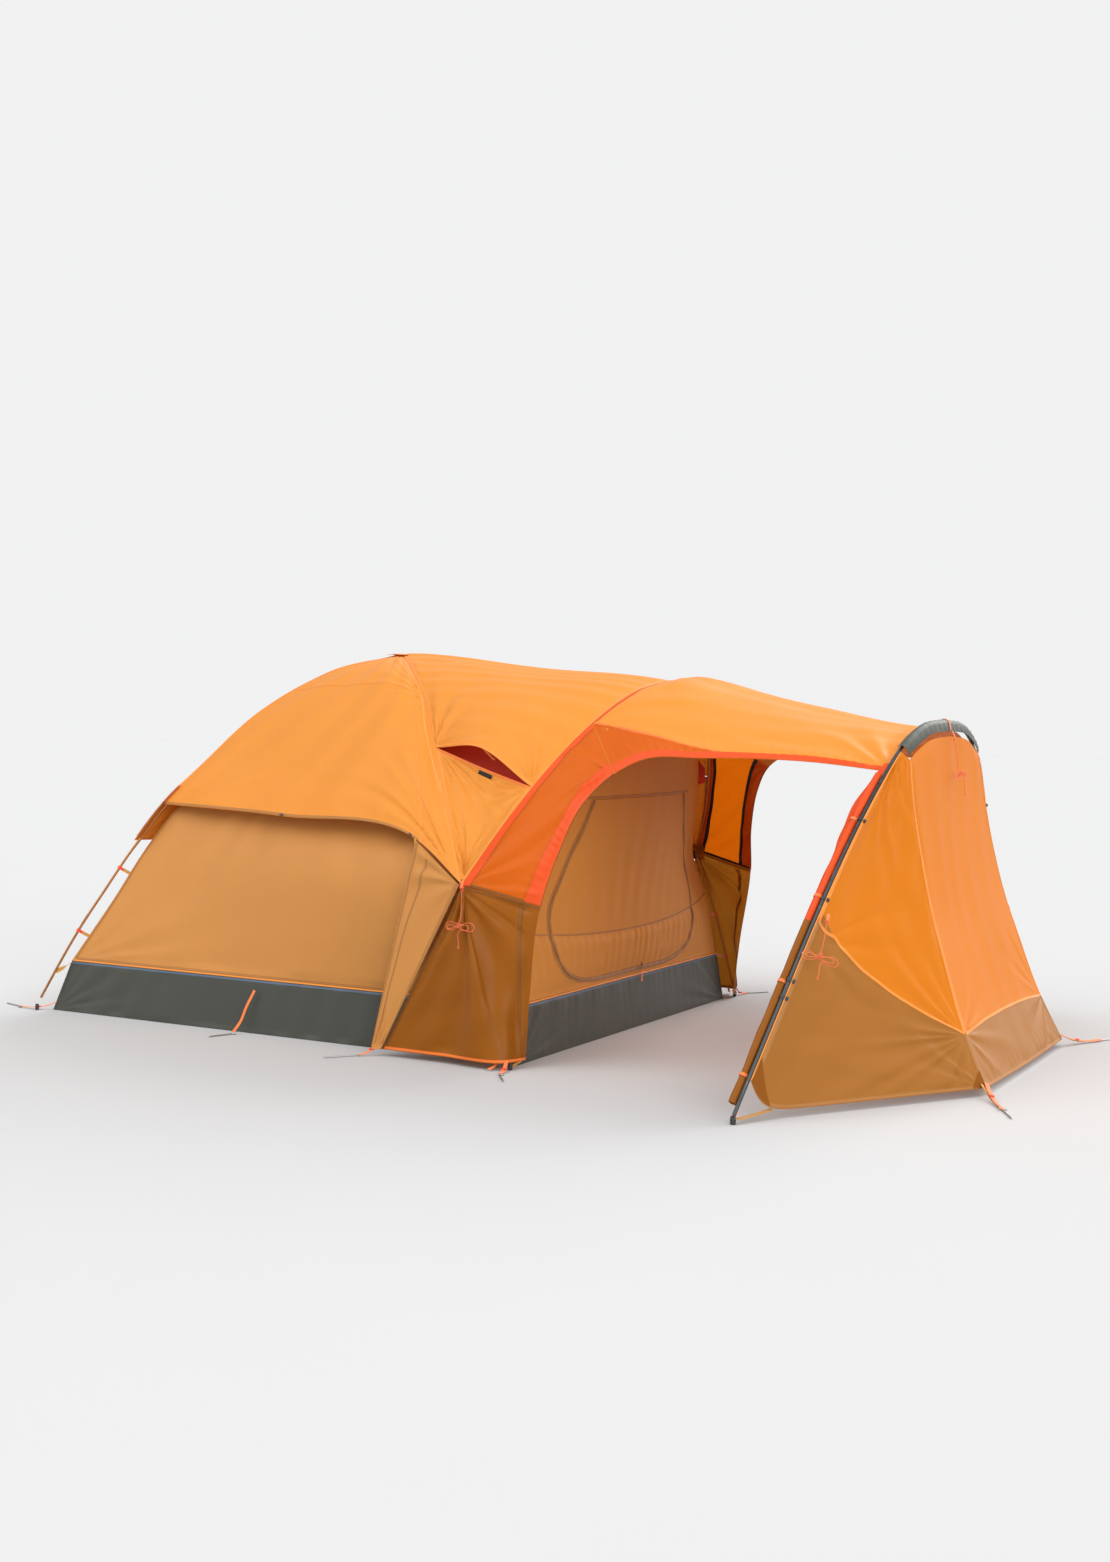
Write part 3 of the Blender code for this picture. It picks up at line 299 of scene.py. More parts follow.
def waves(degrees, spacing, height, seed=0, patch=1.3):
    """Long soft folds lying at an angle to the panel's u direction."""
    c, s = math.cos(math.radians(degrees)), math.sin(math.radians(degrees))

    def fold(u, v, size):
        x, y = u * size[0], v * size[1]
        across = -x * s + y * c
        along = x * c + y * s
        phase = 2 * math.pi * across / spacing + 2.2 * noise(along * 1.4, across * 2.2, seed)
        where = np.clip(0.5 + 0.9 * noise(x * patch, y * patch, seed + 5), 0, 1)
        return height * np.sin(phase) * where
    return fold


def dents(scale, height, seed=0):
    return lambda u, v, size: height * noise(u * size[0] / scale, v * size[1] / scale, seed)


def gathers(edge, spacing, height, depth, seed=0):
    """Small pleats that start square to one edge: b, t, l or r."""
    def fold(u, v, size):
        x, y = u * size[0], v * size[1]
        along = x if edge in "bt" else y
        away = {"b": y, "t": size[1] - y, "l": x, "r": size[0] - x}[edge]
        phase = 2 * math.pi * along / spacing + 2.5 * noise(along * 6, away * 3, seed)
        where = 0.5 + 0.5 * noise(along * 5, away * 4, seed + 2)
        return height * np.sin(phase) * where * np.exp(-away / depth)
    return fold


def ease(x):
    x = np.clip(x, 0.0, 1.0)
    return x * x * (3 - 2 * x)


def skin_of(surface, core=DOME_CORE, folds=(), fade=0.07, loose=""):
    """The panel with its folds: a function of u, v and how far it lies proud."""
    ts = np.linspace(0, 1, 25)
    grid_u, grid_v = np.meshgrid(ts, ts)
    sample = surface(grid_u, grid_v)
    size = (
        float(np.linalg.norm(np.diff(sample, axis=1), axis=2).sum(axis=1).mean()),
        float(np.linalg.norm(np.diff(sample, axis=0), axis=2).sum(axis=0).mean()),
    )
    step = 0.004

    def plain_normal(u, v):
        du = surface(np.clip(u + step, 0, 1), v) - surface(np.clip(u - step, 0, 1), v)
        dv = surface(u, np.clip(v + step, 0, 1)) - surface(u, np.clip(v - step, 0, 1))
        return unit(np.cross(du, dv))

    middle = np.array(0.5)
    out = 1.0 if plain_normal(middle, middle) @ (surface(middle, middle) - core) > 0 else -1.0

    def at(u, v, lift=0.0):
        u, v = np.clip(u, 0.0, 1.0), np.clip(v, 0.0, 1.0)
        u, v = np.broadcast_arrays(np.asarray(u, float), np.asarray(v, float))
        height = np.zeros_like(u)
        for fold in folds:
            height = height + fold(u, v, size)
        held = np.ones_like(u)
        for edge, away in (("l", u * size[0]), ("r", (1 - u) * size[0]),
                           ("b", v * size[1]), ("t", (1 - v) * size[1])):
            if edge not in loose:
                held = held * ease(away / fade)
        return surface(u, v) + plain_normal(u, v) * out * col(height * held + lift)

    at.size = size
    return at


# ---------------------------------------------------------------- building meshes
class Pile:
    """Closed thin shells and rods gathered into one piece."""

    def __init__(self):
        self.points, self.faces, self.uv = [], [], []
        self.count = 0

    def add(self, points, faces, uv):
        self.points.append(np.asarray(points, float).reshape(-1, 3))
        self.uv.append(np.asarray(uv, float).reshape(-1, 2))
        self.faces.append(faces + self.count)
        self.count += len(self.points[-1])

    def sheet(self, grid, thickness=CLOTH, ring=False):
        """A grid of points thickened into a closed shell; ring joins its columns' ends."""
        rows, cols = grid.shape[:2]
        along = np.gradient(grid, axis=1)
        if ring:
            along = np.roll(grid, -1, axis=1) - np.roll(grid, 1, axis=1)
        normal = unit(np.cross(along, np.gradient(grid, axis=0)))
        lower, upper = grid - normal * thickness / 2, grid + normal * thickness / 2
        if ring:
            steps = np.linalg.norm(np.diff(grid, axis=1, append=grid[:, :1]), axis=2)
        else:
            steps = np.linalg.norm(np.diff(grid, axis=1), axis=2)
        x = np.zeros((rows, cols))
        x[:, 1:] = np.cumsum(steps[:, : cols - 1], axis=1)
        y = np.zeros((rows, cols))
        y[1:] = np.cumsum(np.linalg.norm(np.diff(grid, axis=0), axis=2), axis=0)
        uv = np.stack([x, y], axis=-1)
        index = np.arange(rows * cols).reshape(rows, cols)
        if ring:
            index = np.concatenate([index, index[:, :1]], axis=1)
        a, b, c, d = index[:-1, :-1], index[:-1, 1:], index[1:, 1:], index[1:, :-1]
        top = np.stack([a, b, c, d], axis=-1).reshape(-1, 4)
        far = rows * cols
        faces = [top + far, top[:, ::-1]]
        edges = [(index[0], True), (index[-1], False)]
        if not ring:
            edges += [(index[:, 0], False), (index[:, -1], True)]
        for edge, flip in edges:
            quad = np.stack([edge[:-1], edge[1:], edge[1:] + far, edge[:-1] + far], axis=-1)
            faces.append(quad if flip else quad[:, ::-1])
        self.add(np.concatenate([lower.reshape(-1, 3), upper.reshape(-1, 3)]),
                 np.concatenate(faces), np.concatenate([uv.reshape(-1, 2)] * 2))

    def tube(self, centres, radius, sides=12, loop=False):
        """A rod along the centres, whose radius may vary."""
        pts = np.asarray(centres, float)
        radius = np.broadcast_to(np.asarray(radius, float), len(pts))
        if loop:
            tangents = unit(np.roll(pts, -1, axis=0) - np.roll(pts, 1, axis=0))
        else:
            tangents = unit(np.gradient(pts, axis=0))
        side = np.cross(tangents[0], (0.0, 0.0, 1.0))
        if np.linalg.norm(side) < 0.1:
            side = np.cross(tangents[0], (1.0, 0.0, 0.0))
        rings = []
        angles = 2 * np.pi * np.arange(sides) / sides
        for centre, tangent, r in zip(pts, tangents, radius):
            side = unit(side - tangent * float(side @ tangent))
            other = np.cross(tangent, side)
            rings.append(centre + r * (col(np.cos(angles)) * side + col(np.sin(angles)) * other))
        rings = np.array(rings)
        n = len(pts)
        index = np.arange(n * sides).reshape(n, sides)
        if loop:
            index = np.concatenate([index, index[:1]])
        nxt = np.roll(index, -1, axis=1)
        faces = np.stack([index[:-1], nxt[:-1], nxt[1:], index[1:]], axis=-1).reshape(-1, 4)
        length = np.concatenate([[0], np.cumsum(np.linalg.norm(np.diff(pts, axis=0), axis=1))])
        uv = np.stack(np.broadcast_arrays(col(length), radius[:, None] * angles[None, :]), axis=-1)
        points, uv = rings.reshape(-1, 3), uv.reshape(-1, 2)
        if not loop:
            first, last = n * sides, n * sides + 1
            points = np.concatenate([points, [pts[0], pts[-1]]])
            uv = np.concatenate([uv, uv[[0, -1]]])
            k, m = index[0], nxt[0]
            start = np.stack([m, k, np.full(sides, first), np.full(sides, first)], axis=-1)
            k, m = index[-1], nxt[-1]
            end = np.stack([k, m, np.full(sides, last), np.full(sides, last)], axis=-1)
            faces = np.concatenate([faces, start, end])
        self.add(points, faces, uv)

    def block(self, centre, axes, size):
        """A rounded block: half sizes along three unit axes."""
        edge = 0.25
        angles = 2 * np.pi * (np.arange(16) + 0.5) / 16
        cx, cy = np.cos(angles), np.sin(angles)
        power = 0.45
        shape = np.stack([np.sign(cx) * np.abs(cx) ** power, np.sign(cy) * np.abs(cy) ** power], -1)
        rings = []
        for z, k in ((-1, 1 - edge), (-1 + edge, 1), (1 - edge, 1), (1, 1 - edge)):
            ring = (col(shape[:, 0] * k * size[0]) * axes[0] + col(shape[:, 1] * k * size[1]) * axes[1]
                    + z * size[2] * np.asarray(axes[2]) + centre)
            rings.append(ring)
        rings = np.array(rings)
        index = np.arange(64).reshape(4, 16)
        nxt = np.roll(index, -1, axis=1)
        faces = np.stack([index[:-1], nxt[:-1], nxt[1:], index[1:]], axis=-1).reshape(-1, 4)
        points = np.concatenate([rings.reshape(-1, 3), [rings[0].mean(0), rings[-1].mean(0)]])
        start = np.stack([nxt[0], index[0], np.full(16, 64), np.full(16, 64)], axis=-1)
        end = np.stack([index[3], nxt[3], np.full(16, 65), np.full(16, 65)], axis=-1)
        local = points - np.asarray(centre)
        self.add(points, np.concatenate([faces, start, end]), local[:, :2])

    def make(self, name, key, slot=None, body="shelter", nodes=()):
        mesh = bpy.data.meshes.new(name)
        faces = []
        for quad in np.concatenate(self.faces).tolist():
            faces.append(quad[:3] if quad[2] == quad[3] else quad)
        mesh.from_pydata(np.concatenate(self.points).tolist(), [], faces)
        uv = np.concatenate(self.uv)
        layer = mesh.uv_layers.new(name="cloth_metres")
        corner = np.zeros(len(mesh.loops), np.int32)
        mesh.loops.foreach_get("vertex_index", corner)
        layer.data.foreach_set("uv", uv[corner].ravel())
        mesh.shade_smooth()
        mesh.set_sharp_from_angle(angle=math.radians(50))
        mesh.materials.append(MAT[key])
        obj = bpy.data.objects.new(name, mesh)
        bpy.context.scene.collection.objects.link(obj)
        if body:
            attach(obj, body)
        slot or SLOTS[key]
        if nodes:
            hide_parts(*nodes)
        return obj


def sheets(name, key, grids, thickness=CLOTH, ring=False, **rest):
    """One piece of closed thin sheets, from one grid of points or a list of them."""
    pile = Pile()
    for grid in grids if isinstance(grids, list) else [grids]:
        pile.sheet(grid, thickness, ring)
    return pile.make(name, key, **rest)


def rod(name, key, centres, radius, sides=12, loop=False, **rest):
    pile = Pile()
    pile.tube(centres, radius, sides, loop)
    return pile.make(name, key, **rest)


def patch(skin, nu, nv, u=(0.0, 1.0), v=(0.0, 1.0), lift=0.0):
    """Points of a skin on an even grid; either end of v may be a function of u."""
    a, b = np.meshgrid(np.linspace(0, 1, nu + 1), np.linspace(0, 1, nv + 1))
    uu = u[0] + (u[1] - u[0]) * a
    low = v[0](uu) if callable(v[0]) else v[0]
    high = v[1](uu) if callable(v[1]) else v[1]
    return skin(uu, low + (high - low) * b, lift)


def plain(surface, nu, nv, v=(0.0, 1.0)):
    """The same points without folds."""
    return patch(lambda a, b, lift: surface(a, b), nu, nv, v=v)


def upright(u, low, high):
    return [(u, low), (u, 0.5), (u, high)]


def level(v, low, high):
    return [(low, v), (0.5, v), (high, v)]


def ribbon(run, across, half, count=3):
    """Rows of points side by side along a run, reaching half a width to either side."""
    return np.stack([run + across * k for k in np.linspace(-half, half, count)])


def strip(skin, path, width, lift=LAID_ON, count=80):
    """A tape of a width in metres laid over a skin along a path of (u, v) points."""
    pts = smooth([(p[0], p[1], 0.0) for p in path])(np.linspace(0, 1, count))[:, :2]
    metric = pts * np.array(skin.size)
    side = unit(np.gradient(metric, axis=0))[:, ::-1] * np.array([-1.0, 1.0])
    rows = []
    for k in np.linspace(-0.5, 0.5, 5):
        moved = (metric + side * (k * width)) / np.array(skin.size)
        rows.append(skin(moved[:, 0], moved[:, 1], lift))
    return np.array(rows)


def sheet_area(grid, ring=False):
    if ring:
        grid = np.concatenate([grid, grid[:, :1]], axis=1)
    turn = np.cross(np.diff(grid, axis=1)[:-1], np.diff(grid, axis=0)[:, :-1])
    return float(np.linalg.norm(turn, axis=2).sum())


def declared(obj, grid):
    """Work out a sheet's flat size and area share from its unwrinkled grid; they are not kept."""
    across = np.linalg.norm(np.diff(grid, axis=1), axis=2)
    up = np.linalg.norm(np.diff(grid, axis=0), axis=2)
    width, length = float(across.sum(axis=1).max()), float(up.sum(axis=0).max())
    share = min(1.0, max(0.3, sheet_area(grid) / (width * length)))
    return obj


# ---------------------------------------------------------------- materials
class Nodes:
    """Short calls for building a node material."""

    def __init__(self, name):
        self.material = bpy.data.materials.new(name)
        self.material.use_nodes = True
        self.tree = self.material.node_tree
        self.tree.nodes.clear()
        self.out = self.tree.nodes.new("ShaderNodeOutputMaterial")

    def feed(self, socket, value):
        if isinstance(value, bpy.types.NodeSocket):
            self.tree.links.new(value, socket)
        else:
            socket.default_value = value

    def node(self, kind, **inputs):
        made = self.tree.nodes.new("ShaderNode" + kind)
        for key, value in inputs.items():
            socket = made.inputs[key.replace("_", " ")]
            self.feed(socket, value)
        return made

    def math(self, operation, first, second=0.0):
        made = self.tree.nodes.new("ShaderNodeMath")
        made.operation = operation
        for socket, value in zip(made.inputs, (first, second)):
            self.feed(socket, value)
        return made.outputs[0]

    def mix(self, share, first, second):
        made = self.tree.nodes.new("ShaderNodeMix")
        made.data_type = "RGBA"
        for name, value in (("Factor_Float", share), ("A_Color", first), ("B_Color", second)):
            socket = next(s for s in made.inputs if s.identifier == name)
            self.feed(socket, value)
        return next(s for s in made.outputs if s.identifier == "Result_Color")

    def noise(self, vector, scale, detail=3.0):
        made = self.node("TexNoise", Scale=scale, Detail=detail, Roughness=0.55)
        self.tree.links.new(vector, made.inputs["Vector"])
        return made.outputs["Fac"]

    def stretched(self, vector, scale):
        made = self.tree.nodes.new("ShaderNodeMapping")
        made.inputs["Scale"].default_value = scale
        self.tree.links.new(vector, made.inputs["Vector"])
        return made.outputs["Vector"]


def rgba(colour, gain=1.0):
    return (*(min(1.0, c * gain) for c in colour), 1.0)


def cloth_material(name, colour, rough=0.5, through=0.0, glow=None, thread=1.0, sheen=0.06, stitched=0.0):
    """Woven cloth: threads, slubs, faint crinkle and shade, with light let through.

    stitched is the width of a tape with a row of stitches along each of its edges.
    """
    n = Nodes(name)
    coords = n.node("TexCoord")
    flat, place = coords.outputs["UV"], coords.outputs["Object"]
    warp = n.noise(n.stretched(flat, (2400.0 / thread, 60.0, 1.0)), 1.0, 2.0)
    weft = n.noise(n.stretched(flat, (60.0, 2400.0 / thread, 1.0)), 1.0, 2.0)
    weave = n.math("ADD", warp, weft)
    slub = n.noise(n.stretched(flat, (9.0, 420.0, 1.0)), 1.0, 3.0)
    cloud = n.noise(place, 2.1, 4.0)
    shade = n.math("ADD", n.math("MULTIPLY", weave, 0.10), n.math("MULTIPLY", slub, 0.06))
    shade = n.math("ADD", shade, n.math("MULTIPLY", cloud, 0.16))
    tone = n.mix(shade, rgba(colour, 0.80), rgba(colour, 1.30))
    crinkle = n.math("MULTIPLY", n.noise(place, 34.0, 5.0), 0.0011)
    height = n.math("ADD", n.math("MULTIPLY", weave, 0.00012), crinkle)
    if stitched:
        split = n.node("SeparateXYZ", Vector=flat)
        along, across = split.outputs["X"], split.outputs["Y"]
        dash = n.math("GREATER_THAN", n.math("SINE", n.math("MULTIPLY", along, 2 * math.pi / 0.006)), -0.35)
        rows = None
        for share in (0.2, 0.8):
            gap = n.math("ABSOLUTE", n.math("SUBTRACT", across, stitched * share))
            row = n.math("LESS_THAN", gap, 0.0011)
            rows = row if rows is None else n.math("MAXIMUM", rows, row)
        thread_mask = n.math("MULTIPLY", rows, dash)
        tone = n.mix(thread_mask, tone, rgba(colour, 0.55))
        height = n.math("ADD", height, n.math("MULTIPLY", thread_mask, 0.0006))
    bump_node = n.node("Bump", Strength=0.5, Distance=1.0, Height=height)
    roughness = n.math("ADD", n.math("MULTIPLY", n.noise(place, 11.0, 3.0), 0.16), rough - 0.08)
    face = n.node("BsdfPrincipled", Base_Color=tone, Roughness=roughness, Normal=bump_node.outputs[0])
    face.inputs["Sheen Weight"].default_value = sheen
    face.inputs["Sheen Roughness"].default_value = 0.45
    face.inputs["Specular IOR Level"].default_value = 0.22
    result = face.outputs[0]
    if through:
        lit = n.node("BsdfTranslucent", Color=n.mix(shade, rgba(glow, 0.85), rgba(glow, 1.2)),
                     Normal=bump_node.outputs[0])
        blend = n.tree.nodes.new("ShaderNodeMixShader")
        blend.inputs[0].default_value = through
        n.tree.links.new(result, blend.inputs[1])
        n.tree.links.new(lit.outputs[0], blend.inputs[2])
        result = blend.outputs[0]
    n.tree.links.new(result, n.out.inputs["Surface"])
    return n.material


def hard_material(name, colour, rough, metallic=0.0, grain=0.25, worn=None, coat=0.0):
    """Drawn metal or moulded plastic with fine grain, handling marks and worn spots."""
    n = Nodes(name)
    place = n.node("TexCoord").outputs["Object"]
    marks = n.noise(place, 38.0, 6.0)
    fine = n.noise(place, 420.0, 3.0)
    tone = n.mix(marks, rgba(colour, 0.75), rgba(colour, 1.25))
    if worn is not None:
        spots = n.math("GREATER_THAN", n.noise(place, 90.0, 5.0), 0.66)
        tone = n.mix(n.math("MULTIPLY", spots, 0.5), tone, rgba(worn))
    height = n.math("MULTIPLY", n.math("ADD", marks, fine), 0.0004 * grain)
    bump_node = n.node("Bump", Strength=0.6, Distance=1.0, Height=height)
    roughness = n.math("ADD", n.math("MULTIPLY", marks, 0.22), rough - 0.1)
    face = n.node("BsdfPrincipled", Base_Color=tone, Roughness=roughness, Normal=bump_node.outputs[0])
    face.inputs["Metallic"].default_value = metallic
    face.inputs["Coat Weight"].default_value = coat
    n.tree.links.new(face.outputs[0], n.out.inputs["Surface"])
    return n.material


def braid_material(name, colour, fleck, pitch=0.004):
    """Braid or webbing: crossing yarns in a diagonal pattern along the length."""
    n = Nodes(name)
    split = n.node("SeparateXYZ", Vector=n.node("TexCoord").outputs["UV"])
    x = n.math("MULTIPLY", split.outputs["X"], 2 * math.pi / pitch)
    y = n.math("MULTIPLY", split.outputs["Y"], 2 * math.pi / (pitch * 0.6))
    one, two = n.math("SINE", n.math("ADD", x, y)), n.math("SINE", n.math("SUBTRACT", x, y))
    yarn = n.math("MULTIPLY", one, two)
    spots = n.math("GREATER_THAN", yarn, 0.55)
    shade = n.math("ADD", n.math("MULTIPLY", yarn, 0.3), 0.5)
    tone = n.mix(shade, rgba(colour, 0.7), rgba(colour, 1.25))
    tone = n.mix(n.math("MULTIPLY", spots, 0.45), tone, rgba(fleck))
    bump_node = n.node("Bump", Strength=0.7, Distance=1.0, Height=n.math("MULTIPLY", yarn, 0.0003))
    face = n.node("BsdfPrincipled", Base_Color=tone, Roughness=0.75, Normal=bump_node.outputs[0])
    face.inputs["Sheen Weight"].default_value = 0.3
    n.tree.links.new(face.outputs[0], n.out.inputs["Surface"])
    return n.material


ORANGE, FACING = (0.98, 0.350, 0.045), (0.96, 0.105, 0.016)
TAN, DARK_TAN, CHARCOAL = (0.68, 0.300, 0.076), (0.40, 0.132, 0.008), (0.060, 0.062, 0.052)
GLOW, TAN_GLOW, RED_GLOW = (1.0, 0.50, 0.05), (0.88, 0.52, 0.15), (1.0, 0.22, 0.03)
MAT = {
    "fly": cloth_material("orange_fly_cloth", ORANGE, 0.46, 0.28, GLOW),
    # brow: the fly's orange made deeper, painted shade and painted light let through, on the brow panels and
    # the canopy's edge panels
    "brow": cloth_material("deep_orange_cloth_painted_shade", (0.95, 0.205, 0.010), 0.46, 0.55, (1.0, 0.46, 0.04)),
    # beak: the fly's orange made deeper and more saturated, painted light let through the beak's upper cloth
    "beak": cloth_material("deep_orange_beak_cloth_painted_light", (0.99, 0.31, 0.010), 0.46, 0.45, GLOW),
    "facing": cloth_material("red_facing_cloth", FACING, 0.46, 0.25, RED_GLOW),
    # vent: a deep red that is painted shade of the dark inside of each vent's mouth
    "vent": cloth_material("vent_lining_cloth_painted_shade", (0.75, 0.045, 0.012), 0.5, 0.2, RED_GLOW),
    "low_tan": cloth_material("brown_skirt_cloth", (0.46, 0.180, 0.026), 0.5, 0.25, TAN_GLOW),
    "tan": cloth_material("tan_wall_cloth", TAN, 0.55, 0.22, TAN_GLOW),
    # front: the tan wall cloth made brighter, painted light on the shaded front wall and its door
    "front": cloth_material("front_wall_cloth_painted_light", (0.86, 0.37, 0.075), 0.6, 0.35, TAN_GLOW),
    "dark_tan": cloth_material("dark_tan_cloth", DARK_TAN, 0.36, 0.4, TAN_GLOW),
    "charcoal": cloth_material("charcoal_coated_cloth", CHARCOAL, 0.42, sheen=0.1, thread=1.6),
    "cap": cloth_material("grey_sleeve_cloth", (0.052, 0.055, 0.043), 0.5),
    "mesh": cloth_material("ceiling_mesh_cloth", (0.10, 0.09, 0.07), 0.8, 0.4, (0.2, 0.15, 0.08)),
    "seam": cloth_material("orange_seam_tape", (0.95, 0.30, 0.045), 0.5, stitched=0.012),
    "hem": cloth_material("red_orange_hem_tape", (0.93, 0.20, 0.035), 0.5, stitched=0.016),
    "tan_seam": cloth_material("tan_seam_tape", (0.46, 0.195, 0.050), 0.6, stitched=0.012),
    "dark_seam": cloth_material("dark_tan_seam_tape", (0.25, 0.085, 0.012), 0.6, stitched=0.012),
    "blue": cloth_material("slate_blue_binding", (0.10, 0.14, 0.20), 0.6, thread=2.0),
    "piping": cloth_material("orange_piping_cloth", (0.92, 0.30, 0.05), 0.55, thread=2.0),
    "black": cloth_material("black_tape_cloth", (0.022, 0.022, 0.022), 0.6, thread=2.0),
    "webbing": braid_material("orange_webbing", (0.92, 0.17, 0.03), (1.0, 0.45, 0.12), 0.005),
    "tan_webbing": braid_material("ochre_webbing", (0.55, 0.25, 0.03), (0.85, 0.50, 0.12), 0.005),
    "black_webbing": braid_material("black_webbing", (0.03, 0.03, 0.03), (0.10, 0.10, 0.10), 0.005),
    "cord": braid_material("reflective_orange_cord", (0.88, 0.11, 0.02), (1.0, 0.62, 0.35), 0.006),
    "bronze": hard_material("bronze_anodised_tube", (0.47, 0.20, 0.065), 0.34, 0.9, worn=(0.62, 0.36, 0.16)),
    "grey": hard_material("blue_grey_anodised_tube", (0.052, 0.064, 0.074), 0.36, 0.75,
                          worn=(0.20, 0.22, 0.24)),
    "plastic": hard_material("black_moulded_nylon", (0.022, 0.022, 0.024), 0.45, grain=0.8),
    "red": hard_material("red_orange_moulded_clip", (0.88, 0.06, 0.02), 0.42, grain=0.6, coat=0.1),
    "steel": hard_material("zinc_plated_steel", (0.42, 0.43, 0.44), 0.34, 1.0, worn=(0.20, 0.15, 0.10)),
    "zip": hard_material("ochre_zip_coil", (0.26, 0.11, 0.018), 0.5, grain=2.0),
}

# The colour slot of each material.
SLOTS = {key: slot for slot, keys in {
    "facing": "facing vent",
    "orange_trim": "webbing red tan_webbing piping",
    "tan": "tan_seam front tan low_tan",
    "plastic": "plastic black",
    "charcoal": "charcoal blue",
    "fly": "fly seam",
    "cord": "cord black_webbing",
    "dark_tan": "zip dark_tan dark_seam",
    "steel": "steel",
    "bronze_pole": "bronze",
    "grey_pole": "grey",
    "mesh": "mesh",
    # The brow and beak cloths are deeper copies of the fly's orange, painted shade and painted light let
    # through.
    "canopy": "brow beak",
    "cap_grey": "cap",
}.items() for key in keys.split()}


# ---------------------------------------------------------------- camera, light and floor
def add_camera():
    yaw, pitch, roll = 0.507124, 0.033424, 0.010450
    forward = Vector((-math.sin(yaw) * math.cos(pitch), math.cos(yaw) * math.cos(pitch), -math.sin(pitch)))
    level = Vector((math.cos(yaw), math.sin(yaw), 0.0))
    upright = level.cross(forward)
    right = level * math.cos(roll) + upright * math.sin(roll)
    up = upright * math.cos(roll) - level * math.sin(roll)
    data = bpy.data.cameras.new("camera")
    data.lens, data.sensor_width = 40.80, 36.0
    data.clip_end = 200.0
    obj = bpy.data.objects.new("camera", data)
    matrix = Matrix((right, up, -forward)).transposed().to_4x4()
    matrix.translation = Vector((5.790, -8.567, 1.658))
    obj.matrix_world = matrix
    bpy.context.scene.collection.objects.link(obj)
    bpy.context.scene.camera = obj


def add_light_and_floor():
    scene = bpy.context.scene
    scene.view_settings.view_transform = "Standard"
    world = bpy.data.worlds.new("studio")
    world.use_nodes = True
    tree = world.node_tree
    shown = tree.nodes["Background"]
    shown.inputs["Color"].default_value = (0.883, 0.885, 0.890, 1.0)
    soft = tree.nodes.new("ShaderNodeBackground")
    soft.inputs["Color"].default_value = (0.97, 0.985, 1.0, 1.0)
    soft.inputs["Strength"].default_value = 0.62
    path = tree.nodes.new("ShaderNodeLightPath")
    blend = tree.nodes.new("ShaderNodeMixShader")
    tree.links.new(path.outputs["Is Camera Ray"], blend.inputs[0])
    tree.links.new(soft.outputs[0], blend.inputs[1])
    tree.links.new(shown.outputs[0], blend.inputs[2])
    tree.links.new(blend.outputs[0], tree.nodes["World Output"].inputs["Surface"])
    scene.world = world
    suns = (
        ("key", (0.40, 0.55, -0.78), 1.75, 50.0), ("top", (-0.10, -0.25, -0.95), 0.35, 70.0),
        ("fill", (-0.80, 0.50, -0.26), 2.0, 55.0), ("back", (-0.25, -0.80, -0.52), 2.6, 45.0),
    )
    for name, aim, energy, angle in suns:
        data = bpy.data.lights.new(name, "SUN")
        data.energy = energy
        data.angle = math.radians(angle)
        data.color = (1.0, 0.985, 0.96)
        lamp = bpy.data.objects.new(name, data)
        lamp.rotation_mode = "QUATERNION"
        lamp.rotation_quaternion = Vector(aim).to_track_quat("-Z", "Y")
        scene.collection.objects.link(lamp)
    n = Nodes("studio_floor_paint")
    tint = n.mix(n.noise(n.node("TexCoord").outputs["Object"], 0.6, 2.0), (0.499, 0.503, 0.511, 1),
                 (0.511, 0.515, 0.523, 1))
    paint = n.node("BsdfDiffuse", Color=tint)
    n.tree.links.new(paint.outputs[0], n.out.inputs["Surface"])
    mesh = bpy.data.meshes.new("studio_floor")
    reach, low = 90.0, -0.0008
    mesh.from_pydata([(-reach, -reach, low), (reach, -reach, low), (reach, reach, low), (-reach, reach, low)],
                     [], [(0, 1, 2, 3)])
    mesh.materials.append(n.material)
    floor = bpy.data.objects.new("studio_floor", mesh)
    scene.collection.objects.link(floor)


# ---------------------------------------------------------------- guylines
def add_guyline(name, exit_point, across, up, out):
    """A cord along its given route, with its loop, line lock and end knot."""
    origin = np.array(exit_point, float)
    axes = unit(np.array([across, up, out], float))
    route = np.array(GUYLINE) @ axes + origin
    line_points = smooth(route)(np.linspace(0, 1, 420))
    piece = rod(name + "_line", "cord", line_points, GUY_DIAMETER / 2, sides=10, nodes=(name,))
    knot = Pile()
    end = line_points[-1]
    turns = np.linspace(0, 4 * np.pi, 40)
    coil = end + col(0.0032 * np.cos(turns)) * axes[0] + col(0.0032 * np.sin(turns)) * axes[2] \
        + col(0.004 - turns * 0.0007) * axes[1]
    knot.tube(coil, 0.0014, sides=8)
    tie = origin - axes[1] * 0.158 + axes[2] * 0.014
    turns = np.linspace(0, 6 * np.pi, 60)
    wrap = tie + col(0.010 * np.cos(turns)) * axes[0] * 0.6 + col(0.0155 * np.sin(turns)) * axes[2] \
        - col(turns * 0.0012 - 0.004) * axes[1]
    knot.tube(wrap, 0.0015, sides=8)
    bead = knot.make(name + "_knots", "cord")
    turns = np.linspace(0, 2 * np.pi, 28)[:-1]
    ring = origin + col(0.008 * np.sin(turns)) * axes[0] + col(0.008 * np.cos(turns) + 0.007) * axes[1]
    rod(name + "_ring", "red", ring, 0.0018, sides=8, loop=True)
    stations = ((0.013, 0.003), (0.020, 0.004), (0.036, 0.001), (0.050, -0.006))
    rows = smooth([origin + axes[1] * h + axes[2] * o for h, o in stations])(np.linspace(0, 1, 12))
    sheets(name + "_tab", "webbing", ribbon(rows, axes[0], 0.007, 5), thickness=WEBBING)
    tuple(line_points[0])


